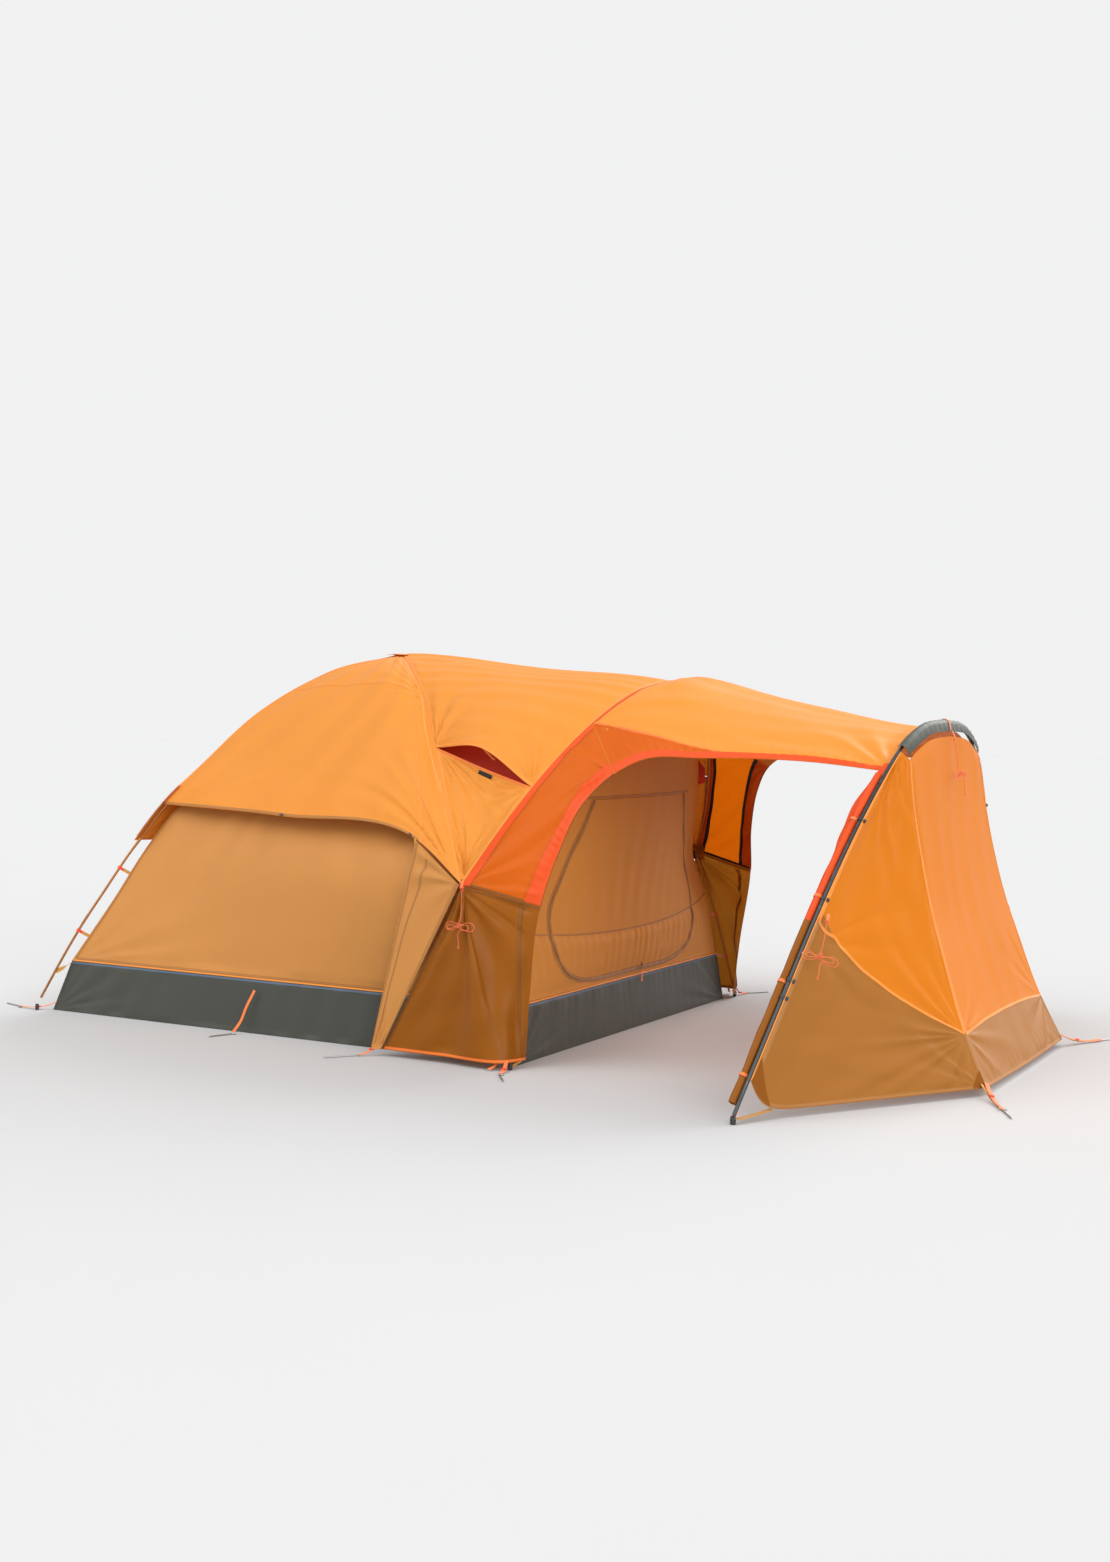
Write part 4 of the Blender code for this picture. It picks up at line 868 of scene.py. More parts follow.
def add_guylines():
    for side, label in SIDES:
        add_guyline("guyline_hub_" + label, on_side((1.305, 1.400, 0.845), side),
                    (1.0, 0.0, 0.0), (0.0, -0.06 * side, 1.0), (0.0, side, 0.0))
        add_guyline("guyline_hoop_" + label, on_side((3.125, 1.345, 0.80), side),
                    (0.80, -0.52 * side, -0.30), (-0.02, -0.54 * side, 0.84), (0.5, 0.62 * side, 0.45))
    add_guyline("guyline_beak", (3.275, 0.0, 1.585), (0.0, 1.0, 0.0), (-0.13, 0.0, 1.0), (1.0, 0.0, 0.13))


add_camera()
add_guylines()
add_light_and_floor()


# ---------------------------------------------------------------- inner tent
def corner_line(side, end):
    top = INNER_FRONT[0] if end > 0 else INNER_REAR[0]
    bottom = (end * FLOOR_HALF_LENGTH, FLOOR_HALF_WIDTH, 0.002)
    return line(on_side(bottom, side), on_side((top[0], top[1], BAND_HEIGHT), side))


def add_floor():
    a, b = np.meshgrid(np.linspace(-1, 1, 61), np.linspace(-1, 1, 49))
    x, y = a * FLOOR_HALF_LENGTH, b * FLOOR_HALF_WIDTH
    rise = 0.0022 + 0.004 * np.clip(noise(x * 3, y * 3, 4), 0, 1) * (1 - a**4) * (1 - b**4)
    grid = np.stack([x, y, rise], axis=-1)
    piece = sheets("floor_cloth", "charcoal", grid, thickness=0.0016, nodes=("floor_sheet",))
    declared(piece, grid)
    runs = []
    for side, label in SIDES:
        runs.append(("floor_band_" + label, corner_line(side, -1), corner_line(side, 1), label))
    for end, label in ((-1, "rear"), (1, "front")):
        runs.append(("floor_band_" + label, corner_line(NEAR, end), corner_line(FAR, end), label))
    for k, (node, left, right, label) in enumerate(runs):
        surface = ruled(left, right)
        folds = [
            waves(82, 0.21, 0.004, k), gathers("t", 0.075, 0.0012, 0.10, k + 2),
            gathers("b", 0.11, 0.0012, 0.05, k + 4), dents(0.35, 0.006, k + 6),
            fan(0.0, 0.0, 16, 0.005, 0.06, 0.45, k), fan(1.0, 0.0, 16, 0.005, 0.06, 0.45, k + 9),
        ]
        skin = skin_of(surface, folds=folds, fade=0.03)
        piece = sheets(node + "_cloth", "charcoal", patch(skin, 180, 28), nodes=(node,))
        ts = np.linspace(0.002, 0.998, 120)
        piping = rod(node + "_piping", "piping", skin(ts, np.full_like(ts, 1.0), 0.001), 0.0042, sides=10)
        binding = sheets(node + "_binding", "blue", strip(skin, level(0.955, 0.002, 0.998), 0.011, 0.0012))
        trim = Pile()
        for edge in (0.003, 0.997):
            trim.sheet(strip(skin, upright(edge, 0.0, 0.94), 0.012, 0.0014, 30))
        corner = trim.make(node + "_corner_seams", "charcoal")
        declared(piece, plain(surface, 24, 6))


def add_inner_walls():
    rear, front = smooth(INNER_REAR), smooth(INNER_FRONT)
    rear_top = nearest(rear, (-0.87, 0.695, 1.31))
    front_top = nearest(front, (0.88, 0.935, 1.30))
    jobs = []
    for side, label in SIDES:
        left = mirrored(stretch(rear, 0.0, rear_top), side)
        right = mirrored(stretch(front, 0.0, front_top), side)
        jobs.append(("side_wall_" + label, left, right, bump((0.0, -0.02 * side, 0.0))))
    jobs.append(("rear_wall", mirrored(stretch(rear, 0.0, rear_top), NEAR),
                 mirrored(stretch(rear, 0.0, rear_top), FAR), bump((0.02, 0, 0))))
    for k, (node, left, right, sag) in enumerate(jobs):
        surface = ruled(left, right, sag)
        folds = [
            fan(0.0, 0.0, 13, 0.006, 0.15, 0.9, k), fan(1.0, 0.0, 13, 0.006, 0.15, 0.9, k + 3),
            fan(1.0, 0.85, 12, 0.006, 0.15, 0.8, k + 8), waves(78, 0.34, 0.004, k + 4),
            gathers("b", 0.06, 0.0022, 0.12, k), dents(0.6, 0.010, k + 5),
        ]
        skin = skin_of(surface, folds=folds)
        piece = sheets(node + "_cloth", "tan", patch(skin, 130, 100), nodes=(node,))
        seams = Pile()
        for edge in (0.006, 0.994):
            seams.sheet(strip(skin, upright(edge, 0.01, 0.99), 0.014))
        seams.sheet(strip(skin, level(0.012, 0.01, 0.99), 0.014))
        tape = seams.make(node + "_seams", "tan_seam")
        declared(piece, plain(surface, 24, 16))


WALL_TABLE = smooth(FRONT_WALL)(np.linspace(0, 1, 240))
DOOR_TABLE = smooth(DOOR)(np.linspace(0, 1, 160))
DOOR_CENTRE = np.array([0.0, (DOOR_TOP + DOOR_BOTTOM) / 2])   # y, z
GATHER_LINE = 0.57         # about the height where the lower front wall is gathered


def gather_height(y):
    return 0.55 + 0.055 * np.asarray(y) ** 2


def front_wall_point(y, z, lift=0.0):
    """Points of the front wall with its gathers; lift is how far proud of it."""
    y, z = np.asarray(y, float), np.asarray(z, float)
    half, edge, middle = (np.interp(z, WALL_TABLE[:, 0], WALL_TABLE[:, k]) for k in (1, 2, 3))
    share = np.minimum(1.0, np.abs(y) / half)
    below = gather_height(y) - z
    patchy = 0.6 + 0.4 * noise(y * 9, z * 3, 6)
    pleat = np.sin(2 * np.pi * y / 0.075 + 2.4 * noise(y * 7, z * 2, 3)) * patchy
    pleats = 0.0080 * pleat * ease(below / 0.02) * np.exp(-np.maximum(below, 0) / 0.22)
    puff = 0.012 * ease(below / 0.06) * ease((z - 0.29) / 0.12)
    loose = 0.009 * noise(y * 1.7, z * 1.5, 8) + 0.0022 * np.sin(
        2 * np.pi * y / 0.16 + 2 * noise(y * 2, z * 2, 9)) * ease(-below / 0.1)
    held = ease((half - np.abs(y)) / 0.08) * ease((z - WALL_BOTTOM) / 0.05) * ease((WALL_TOP - z) / 0.06)
    x = middle + (edge - middle) * share**2 + (pleats + puff + loose) * held + lift
    return np.stack([x, y, z], axis=-1)


def gather_tape(ys):
    return np.array([front_wall_point(ys, gather_height(ys) + k, LAID_ON) for k in (-0.005, 0.0, 0.005)])


def door_outline(count=48):
    """Round the door from its top corner on the far side, down and back up: y, z."""
    z = DOOR_BOTTOM + (DOOR_TOP - DOOR_BOTTOM) * np.linspace(1, 0, count + 1)[:-1] ** 1.6
    y = np.interp(z, DOOR_TABLE[:, 0], DOOR_TABLE[:, 1])
    flat = DOOR[0][1] * np.linspace(1, -1, 41)
    return np.concatenate([
        np.stack([y, z], -1), np.stack([flat, np.full(41, DOOR_BOTTOM)], -1),
        np.stack([-y[::-1], z[::-1]], -1)])


def grown(loop, by):
    return loop + unit(loop - DOOR_CENTRE) * by


def wall_reach(loop):
    """The front wall's outer edge on the ray through each of the loop's points."""
    low, high = WALL_TABLE[0, 0], WALL_TABLE[-1, 0]
    scales = np.linspace(1.0, 5.0, 1600)
    trial = DOOR_CENTRE + (loop - DOOR_CENTRE)[:, None, :] * scales[None, :, None]
    inside = (trial[..., 1] >= low) & (trial[..., 1] <= high)
    inside &= np.abs(trial[..., 0]) <= np.interp(trial[..., 1], WALL_TABLE[:, 0], WALL_TABLE[:, 1])
    last = np.maximum(np.argmin(inside, axis=1) - 1, 0)
    return trial[np.arange(len(loop)), last]


def add_front_wall_and_door():
    top = np.stack([np.linspace(-DOOR[-1][1], DOOR[-1][1], 42)[1:-1], np.full(40, DOOR_TOP)], -1)
    inner = grown(np.concatenate([door_outline(), top]), 0.003)
    outer = wall_reach(inner)
    shares = np.linspace(0, 1, 60)[:, None, None]
    loops = inner * (1 - shares) + outer * shares
    grid = front_wall_point(loops[..., 0], loops[..., 1])
    # The wall wears the brightened copy of the tan cloth, painted light.
    wall = sheets("front_wall_cloth_painted_light", "front", grid, ring=True, nodes=("front_wall",))
    trims = Pile()
    path = grown(door_outline(), 0.012)
    rows = [front_wall_point(*grown(path, k).T, LAID_ON) for k in (-0.008, -0.003, 0.003, 0.008)]
    trims.sheet(np.array(rows))
    for sign in (-1, 1):
        ys = np.linspace(0.02, 0.99, 60)
        half = np.interp(GATHER_LINE, WALL_TABLE[:, 0], WALL_TABLE[:, 1])
        door_half = np.interp(GATHER_LINE, DOOR_TABLE[:, 0], DOOR_TABLE[:, 1])
        ys = sign * (door_half + 0.02 + (half - door_half - 0.03) * ys)
        trims.sheet(gather_tape(ys))
    ys = np.linspace(-0.62, 0.62, 90)
    heights = (DOOR_TOP + 0.012 + k for k in (-0.006, 0.0, 0.006))
    trims.sheet(np.array([front_wall_point(ys, np.full(90, z), LAID_ON) for z in heights]))
    tape = trims.make("front_wall_tapes", "tan_seam")
    coil = rod("front_wall_zip_coil", "zip", front_wall_point(*grown(door_outline(), 0.0022).T, 0.0028),
               0.0024, sides=8)
    a, b = np.meshgrid(np.linspace(0, 1, 80), np.linspace(0, 1, 80))
    z = WALL_BOTTOM + (WALL_TOP - WALL_BOTTOM) * b
    half = np.interp(z, WALL_TABLE[:, 0], WALL_TABLE[:, 1])
    cut = front_wall_point((2 * a - 1) * half, z)
    flat_w = float(np.linalg.norm(np.diff(cut, axis=1), axis=2).sum(axis=1).max())
    max(0.3 * flat_w * WALL_FLAT_HEIGHT, sheet_area(cut) - DOOR_AREA)

    outline = np.concatenate([grown(door_outline(), -0.001), top])
    shares = np.linspace(1.0, 0.0, 70)
    loops = DOOR_CENTRE + (outline - DOOR_CENTRE)[None, :, :] * np.maximum(shares, 0.004)[:, None, None]
    grid = front_wall_point(loops[..., 0], loops[..., 1])
    # The door wears the same brightened copy of the tan cloth, painted light.
    door = sheets("inner_door_cloth", "front", grid, ring=True, nodes=("inner_door",), body="inner_door")
    trims = Pile()
    path = grown(door_outline(), -0.011)
    trims.sheet(np.array([front_wall_point(*grown(path, k).T, LAID_ON) for k in (-0.007, 0.0, 0.007)]))
    half = np.interp(GATHER_LINE, DOOR_TABLE[:, 0], DOOR_TABLE[:, 1]) - 0.02
    ys = np.linspace(-half, half, 120)
    trims.sheet(gather_tape(ys))
    tape = trims.make("inner_door_tapes", "tan_seam", body="inner_door")
    coil = rod("inner_door_zip_coil", "zip", front_wall_point(*grown(door_outline(), -0.0032).T, 0.0028),
               0.0024, sides=8, body="inner_door")
    sheet_area(grid, ring=True)

    low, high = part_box("zip_slider")
    middle = (low + high) / 2
    pull = Pile()
    axes = np.eye(3)
    pull.block(vec(middle.x, middle.y, high.z - 0.012), (axes[1], axes[2], axes[0]), (0.007, 0.010, 0.0035))
    pull.block(vec(middle.x, middle.y, high.z - 0.030), (axes[1], axes[2], axes[0]), (0.0025, 0.012, 0.0018))
    pull.make("zip_slider_body", "zip", body="zip_slider", slot="orange_trim", nodes=("zip_slider",))
    zs = np.linspace(high.z - 0.038, low.z, 16)
    sway = middle.x + 0.0012 * np.sin(np.linspace(0, 6, 16))
    run = np.stack([sway, np.full(16, middle.y), zs], -1)
    sheets("zip_slider_tag", "webbing", ribbon(run, vec(0, 1, 0), 0.006, 5), thickness=STRAP,
           body="zip_slider")


def add_ceiling():
    """The mesh ceiling that hangs inside the poles."""
    rear, front = smooth(INNER_REAR), smooth(INNER_FRONT)
    rear_low = rear(nearest(rear, (-0.84, 0.67, 1.35)))
    front_low = front(nearest(front, (0.83, 0.885, 1.36)))
    ts = np.linspace(0, 1, 25)[:-1]
    arc = arch(BROW)(np.linspace(0.17, 0.83, 61))
    arc = inset(arc, 0.085, BROW_CORE) + vec(-0.06, 0.0, 0.0)
    loop = np.concatenate([
        line(on_side(rear_low, NEAR), on_side(front_low, NEAR))(ts), arc,
        line(on_side(front_low, FAR), on_side(rear_low, FAR))(ts),
        line(on_side(rear_low, FAR), on_side(rear_low, NEAR))(ts)])
    top = vec(0.0, 0.0, 1.955)
    forward = np.maximum(0.0, loop[:, 0] / np.linalg.norm(loop[:, :2], axis=1))
    rise = 0.085 - 0.19 * forward**6
    r = np.linspace(0.03, 1.0, 40)[:, None]
    grid = top + (loop - top)[None, :, :] * (r * 0.985)[..., None]
    grid[..., 2] += rise[None, :] * 4 * r * (1 - r) + 0.004 * noise(grid[..., 0] * 4, grid[..., 1] * 4, 2)
    piece = sheets("ceiling_mesh", "mesh", grid, ring=True, nodes=("inner_roof_mesh",))
    size = grid.max(axis=(0, 1)) - grid.min(axis=(0, 1))
    box_area = float(size[0] * size[1]) * 1.35
    min(sheet_area(grid, True), box_area * 0.99)


# ---------------------------------------------------------------- poles and feet
def dome_pole(rear_side, depth_at_peak):
    rear, front = smooth(DOME_REAR), smooth(DOME_FRONT)
    t = np.linspace(0.985, 0.0, 70)
    points = rear(t) * vec(1.0, rear_side, 1.0)
    depth = POLE_INSET * np.clip((points[:, 2] - 0.5) / 0.5, 0, 1)
    depth = depth + np.exp(-((4.8 * t) ** 2)) * depth_at_peak
    first = points + unit(POLE_CORE - points) * col(depth)
    end = nearest(front, inset(np.array(HUB), POLE_INSET, POLE_CORE))
    t = np.linspace(0.0, end, 60)[1:]
    points = front(t) * vec(1.0, -rear_side, 1.0)
    depth = POLE_INSET + np.exp(-((3.9 * t) ** 2)) * depth_at_peak
    second = points + unit(POLE_CORE - points) * col(depth)
    points = np.concatenate([first, second])
    hub = inset(on_side(HUB, -rear_side), POLE_INSET, POLE_CORE)
    return points[np.linalg.norm(points - hub, axis=1) > HUB_RADIUS * 0.8]


def jointed_pole(name, points, radius, key, node, joints):
    """A tube of sections with a slightly larger sleeve at every joint."""
    curve = smooth(points)
    rod(name, key, curve(np.linspace(0, 1, 220)), radius, sides=16, nodes=(node,))
    sleeves = Pile()
    length = length_of(points)
    for share in np.linspace(0, 1, joints + 2)[1:-1]:
        reach = 0.028 / length
        sleeves.tube(curve(np.linspace(share - reach, share + reach, 8)), radius + 0.0007, sides=16)
        for end in (-reach, reach):
            sleeves.tube(curve(np.linspace(share + end - 0.001 / length, share + end + 0.001 / length, 3)),
                         radius + 0.0012, sides=16)
    sleeves.make(name + "_joints", key)


def hub_point(side):
    return inset(on_side(HUB, side), POLE_INSET, POLE_CORE)


def add_poles():
    jointed_pole("dome_pole_a_tube", dome_pole(NEAR, 0.0), POLE_RADIUS, "bronze", "dome_pole_a", 9)
    jointed_pole("dome_pole_b_tube", dome_pole(FAR, 2 * POLE_RADIUS + 0.0012), POLE_RADIUS,
                 "bronze", "dome_pole_b", 9)
    leg = smooth(FRONT_LEG)
    for side, label in SIDES:
        t = np.linspace(0, 0.985, 40)
        inward = vec(-0.2, -side, 0.0) * POLE_INSET
        points = leg(t) * vec(1.0, side, 1.0) + inward * col(1 - t**4)
        points = points[np.linalg.norm(points - hub_point(side), axis=1) > HUB_RADIUS + 0.01]
        first = hub_point(side) + unit(points[0] - hub_point(side)) * HUB_RADIUS * 0.9
        jointed_pole("front_leg_tube_" + label, np.concatenate([[first], points]), POLE_RADIUS,
                     "bronze", "front_leg_" + label, 1)
        hub = Pile()
        centre = hub_point(side)
        down = unit(vec(0.25, 0.0, -1.0))
        a = np.linspace(0.05, math.pi - 0.05, 24)
        hub.tube(centre + col(-np.cos(a) * HUB_RADIUS) * down, HUB_RADIUS * np.sin(a), sides=24)
        for aim in (points[3] - centre, dome_pole(-side, 0.0)[-6] - centre):
            way = unit(aim)
            hub.tube(centre + col([0.008, 0.022, 0.036, 0.040]) * way, [0.011, 0.011, 0.0098, 0.0085],
                     sides=16)
        hub.make("pole_hub_block_" + label, "plastic", nodes=("pole_hub_" + label,))
    brow = arch(BROW)(np.linspace(0.02, 0.98, 120))
    jointed_pole("brow_tube", inset(brow, POLE_INSET, BROW_CORE), POLE_RADIUS,
                 "bronze", "brow_pole", 5)
    hoop = arch(HOOP)(np.linspace(0.0015, 0.9985, 160))
    jointed_pole("hoop_tube", hoop, HOOP_RADIUS, "grey", "vestibule_hoop", 8)


def add_feet():
    for side, label in SIDES:
        spots = (("rear", DOME_REAR, 0.012), ("front", FRONT_LEG, 0.012), ("hoop", HOOP[::-1], 0.014))
        for name, route, radius in spots:
            place = on_side(route[-1], side) * vec(1.0, 1.0, 0.0)
            heights = [0.0, 0.0, 0.002, 0.006, 0.008, 0.012, 0.014, 0.018, 0.020, 0.026, 0.031]
            radii = [0.001, 0.008, 0.0105, 0.0115, 0.0100, 0.0100, 0.0115, 0.0115, 0.0100, 0.0096, 0.0088]
            rings = np.array([place + vec(0.0, 0.0, h + 0.0003 * k) for k, h in enumerate(heights)])
            rod(f"pole_tip_{name}_{label}", "plastic", rings, np.array(radii) * radius / 0.012, sides=20,
                nodes=(f"pole_foot_{name}_{label}",))


# ---------------------------------------------------------------- fly
def sewn_panel(name, surface, key, folds, node, nu, nv, slot="fly", core=DOME_CORE, edges="",
               seam="seam", tapes=(), fade=0.07):
    """One cloth panel with a stitched tape along its edges and any further tapes."""
    skin = skin_of(surface, core, folds, fade)
    piece = sheets(name, key, patch(skin, nu, nv), slot=slot, nodes=(node,))
    trim = Pile()
    inner = SEAM_WIDTH * 0.75
    runs = {"l": (inner / skin.size[0], 0), "r": (1 - inner / skin.size[0], 0),
            "b": (inner / skin.size[1], 1), "t": (1 - inner / skin.size[1], 1)}
    for edge in edges:
        at, turned = runs[edge]
        ends = upright(at, 0.002, 0.998)
        path = [(b, a) for a, b in ends] if turned else ends
        trim.sheet(strip(skin, path, SEAM_WIDTH, 0.0014, 90))
    if edges:
        trim.make(name + "_seams", seam, slot=slot)
    for k, (kind, path, wide, lift) in enumerate(tapes):
        sheets(f"{name}_tape_{k}", kind, strip(skin, path, wide, lift, 90), slot=slot)
    declared(piece, plain(surface, 24, 20))
    return skin, piece


def add_fly_sides():
    rear, front = smooth(DOME_REAR), smooth(DOME_FRONT)
    rear_hem = nearest(rear, HEM_REAR_CORNER)
    hem_far = smooth([HEM_REAR_CORNER, (-0.05, 1.045, 1.142), HEM_FRONT_CORNER, HUB])
    for k, (side, label) in enumerate(SIDES):
        left = mirrored(stretch(rear, rear_hem, 0.003), side)
        right = mirrored(stretch(front, 1.0, 0.003), side)
        bottom = pinned(mirrored(hem_far, side), left(0.0), right(0.0))
        surface = coons(left, right, bottom, line(left(1.0), right(1.0)), bump((0.0, side * 0.02, 0.02)))
        folds = [
            fan(1.0, 0.0, 22, 0.007, 0.15, 0.55, k), fan(1.0, 0.62, 20, 0.005, 0.10, 0.45, k + 1),
            fan(0.0, 0.0, 14, 0.005, 0.12, 0.7, k + 2), fan(0.5, 1.0, 9, 0.006, 0.25, 0.9, k + 3),
            waves(68, 0.24, 0.0035, k + 4), gathers("r", 0.045, 0.0022, 0.09, k),
            gathers("b", 0.09, 0.0022, 0.10, k + 6), dents(0.5, 0.007, k + 7),
        ]
        tapes = (
            ("tan_seam", [(0.004, 0.006), (0.5, 0.006), (0.84, 0.004)], 0.014, 0.003),
            ("seam", [(0.05, 0.60), (0.5, 0.605), (0.97, 0.60)], 0.011, 0.0015),
            ("seam", [(0.86, 0.015), (0.875, 0.3), (0.89, 0.60)], 0.011, 0.0015),
            ("seam", [(0.985, 0.26), (0.965, 0.35), (0.95, 0.45), (0.975, 0.62)], 0.030, 0.0018),
        )
        skin, _ = sewn_panel("fly_side_cloth_" + label, surface, "fly", folds, "fly_side_" + label,
                             nu=150, nv=130, edges="lr", tapes=tapes)
        hardware = Pile()
        for at, size in ((0.42, 0.012), (0.815, 0.010)):
            spot = skin(np.array(at), np.array(0.004), 0.006)
            along = unit(skin(np.array(at + 0.01), np.array(0.004)) - spot)
            up = unit(skin(np.array(at), np.array(0.05)) - spot)
            hardware.block(spot, (along, up, np.cross(along, up)), (size, 0.006, 0.004))
        hardware.make("fly_side_toggles_" + label, "plastic")
        spot = skin(np.array(0.83), np.array(0.0), 0.004)
        drop = np.linspace(0, 1, 12)
        run = spot + col(drop) * vec(0.012, 0.006 * side, -0.055)
        sheets("fly_side_hangers_" + label, "tan_webbing", ribbon(run, vec(1, 0, 0), 0.006),
               thickness=WEBBING)


def add_fly_rear():
    rear = smooth(DOME_REAR)
    low = nearest(rear, REAR_HEM_CORNER)
    left = mirrored(stretch(rear, low, 0.003), NEAR)
    right = mirrored(stretch(rear, low, 0.003), FAR)
    bottom = smooth([left(0.0), (-1.25, 0.0, 0.93), right(0.0)])
    surface = coons(left, right, bottom, line(left(1.0), right(1.0)), bump((-0.05, 0.0, 0.02)))
    folds = [
        fan(0.0, 0.0, 16, 0.007, 0.15, 0.8, 31), fan(1.0, 0.0, 16, 0.007, 0.15, 0.8, 32),
        fan(0.5, 1.0, 9, 0.006, 0.25, 0.9, 33), waves(84, 0.3, 0.004, 34),
        gathers("b", 0.10, 0.0022, 0.12, 35), dents(0.5, 0.008, 36),
    ]
    tapes = (("tan_seam", level(0.006, 0.004, 0.996), 0.014, 0.003),
             ("seam", level(0.60, 0.03, 0.97), 0.011, 0.0015),
             ("seam", [(0.5, 0.012), (0.5, 0.3), (0.5, 0.595)], 0.011, 0.0015))
    sewn_panel("fly_rear_cloth", surface, "fly", folds, "fly_rear", nu=140, nv=130, edges="lr", tapes=tapes)
    pile = Pile()
    for side in (NEAR, FAR):
        ts = np.linspace(low - 0.01, nearest(rear, HEM_REAR_CORNER) - 0.05, 40)
        run = rear(ts) * vec(1.0, side, 1.0)
        out = unit(run - vec(0.0, 0.0, 0.5))
        across = unit(np.cross(np.gradient(run, axis=0), out))
        pile.sheet(ribbon(run + out * 0.003, across, 0.032, 5))
    pile.make("fly_rear_corner_patches", "facing")


def vent_lip(side):
    return smooth([on_side(VENT_ON_POLE, side), on_side(VENT_LIP, side), on_side(VENT_ON_BROW, side)])


def roof_surface():
    """The saddle from the dome poles' front halves to the brow arch."""
    front, brow = smooth(DOME_FRONT), smooth(BROW)
    on_pole, on_brow = nearest(front, VENT_ON_POLE), nearest(brow, VENT_ON_BROW)

    def back(t):
        half, flip = halved(t)
        return front(on_pole * (1 - half)) * flip

    def ahead(t):
        half, flip = halved(t)
        return brow(on_brow + (1 - on_brow) * half) * flip

    def edge(side):
        end = 0.0 if side == NEAR else 1.0
        return pinned(vent_lip(side), back(end), ahead(end))

    def sag(u, v):
        return vec(0.0, 0.0, -0.34) * col(v * (1 - v) * np.sin(np.pi * u) ** 2)

    return coons(back, ahead, edge(NEAR), edge(FAR), sag)


def hood_share(u):
    """How far a vent hood reaches up the roof at a place along it."""
    return 0.004 + 0.126 * np.clip(np.sin(np.pi * np.asarray(u, float)), 0, 1) ** 0.7


def far_hood_share(u):
    return 1 - hood_share(u)


def add_fly_roof():
    surface = roof_surface()
    folds = [
        fan(0.0, 0.0, 16, 0.009, 0.12, 0.75, 41), fan(0.0, 1.0, 16, 0.009, 0.12, 0.75, 42),
        fan(1.0, 0.0, 14, 0.008, 0.12, 0.6, 43), fan(1.0, 1.0, 14, 0.008, 0.12, 0.6, 44),
        waves(4, 0.15, 0.0045, 45, 1.0), fan(0.0, 0.5, 8, 0.006, 0.25, 0.9, 46), dents(0.5, 0.006, 47),
        gathers("r", 0.05, 0.0018, 0.08, 48), gathers("l", 0.05, 0.0018, 0.08, 49),
    ]
    skin = skin_of(surface, folds=folds, fade=0.05, loose="bt")
    grid = patch(skin, 110, 190, v=(hood_share, far_hood_share))
    roof = sheets("fly_roof_cloth", "fly", grid, nodes=("fly_front_roof",))
    trim = Pile()
    for at in (0.012, 0.988):
        trim.sheet(strip(skin, upright(at, 0.03, 0.97), 0.012, 0.0014, 120))
    tape = trim.make("fly_roof_cloth_seams", "seam")
    flat = plain(surface, 24, 40, v=(hood_share, far_hood_share))
    declared(roof, flat)

    for side, label in SIDES:
        span = (0.0, hood_share) if side == NEAR else (1.0, far_hood_share)
        body = "vent_hood_" + label
        hood = sheets("vent_hood_cloth_" + label, "fly", patch(skin, 90, 26, v=span), body=None,
                      nodes=(body,))
        rows = []
        for share in (0.0, 0.35, 0.7, 1.0):
            us = np.linspace(0.003, 0.997, 90)
            depth = 0.016 / skin.size[1] * share * np.minimum(1.0, hood_share(us) / 0.02)
            rows.append(skin(us, depth if side == NEAR else 1 - depth, 0.0018))
        rim = sheets("vent_hood_rim_" + label, "seam", np.array(rows), body=None)
        start = on_side(VENT_ON_POLE, side)
        hinge = surface(np.array(0.5), np.array(0.13 if side == NEAR else 0.87))
        away = unit(np.cross(on_side(VENT_ON_BROW, side) - start, hinge - start))
        lip = on_side(VENT_LIP, side)
        away = away * np.sign(away @ (lip - start))
        for piece in (hood, rim):
            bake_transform(piece)
        flat = plain(surface, 24, 8, v=span)
        declared(hood, flat)


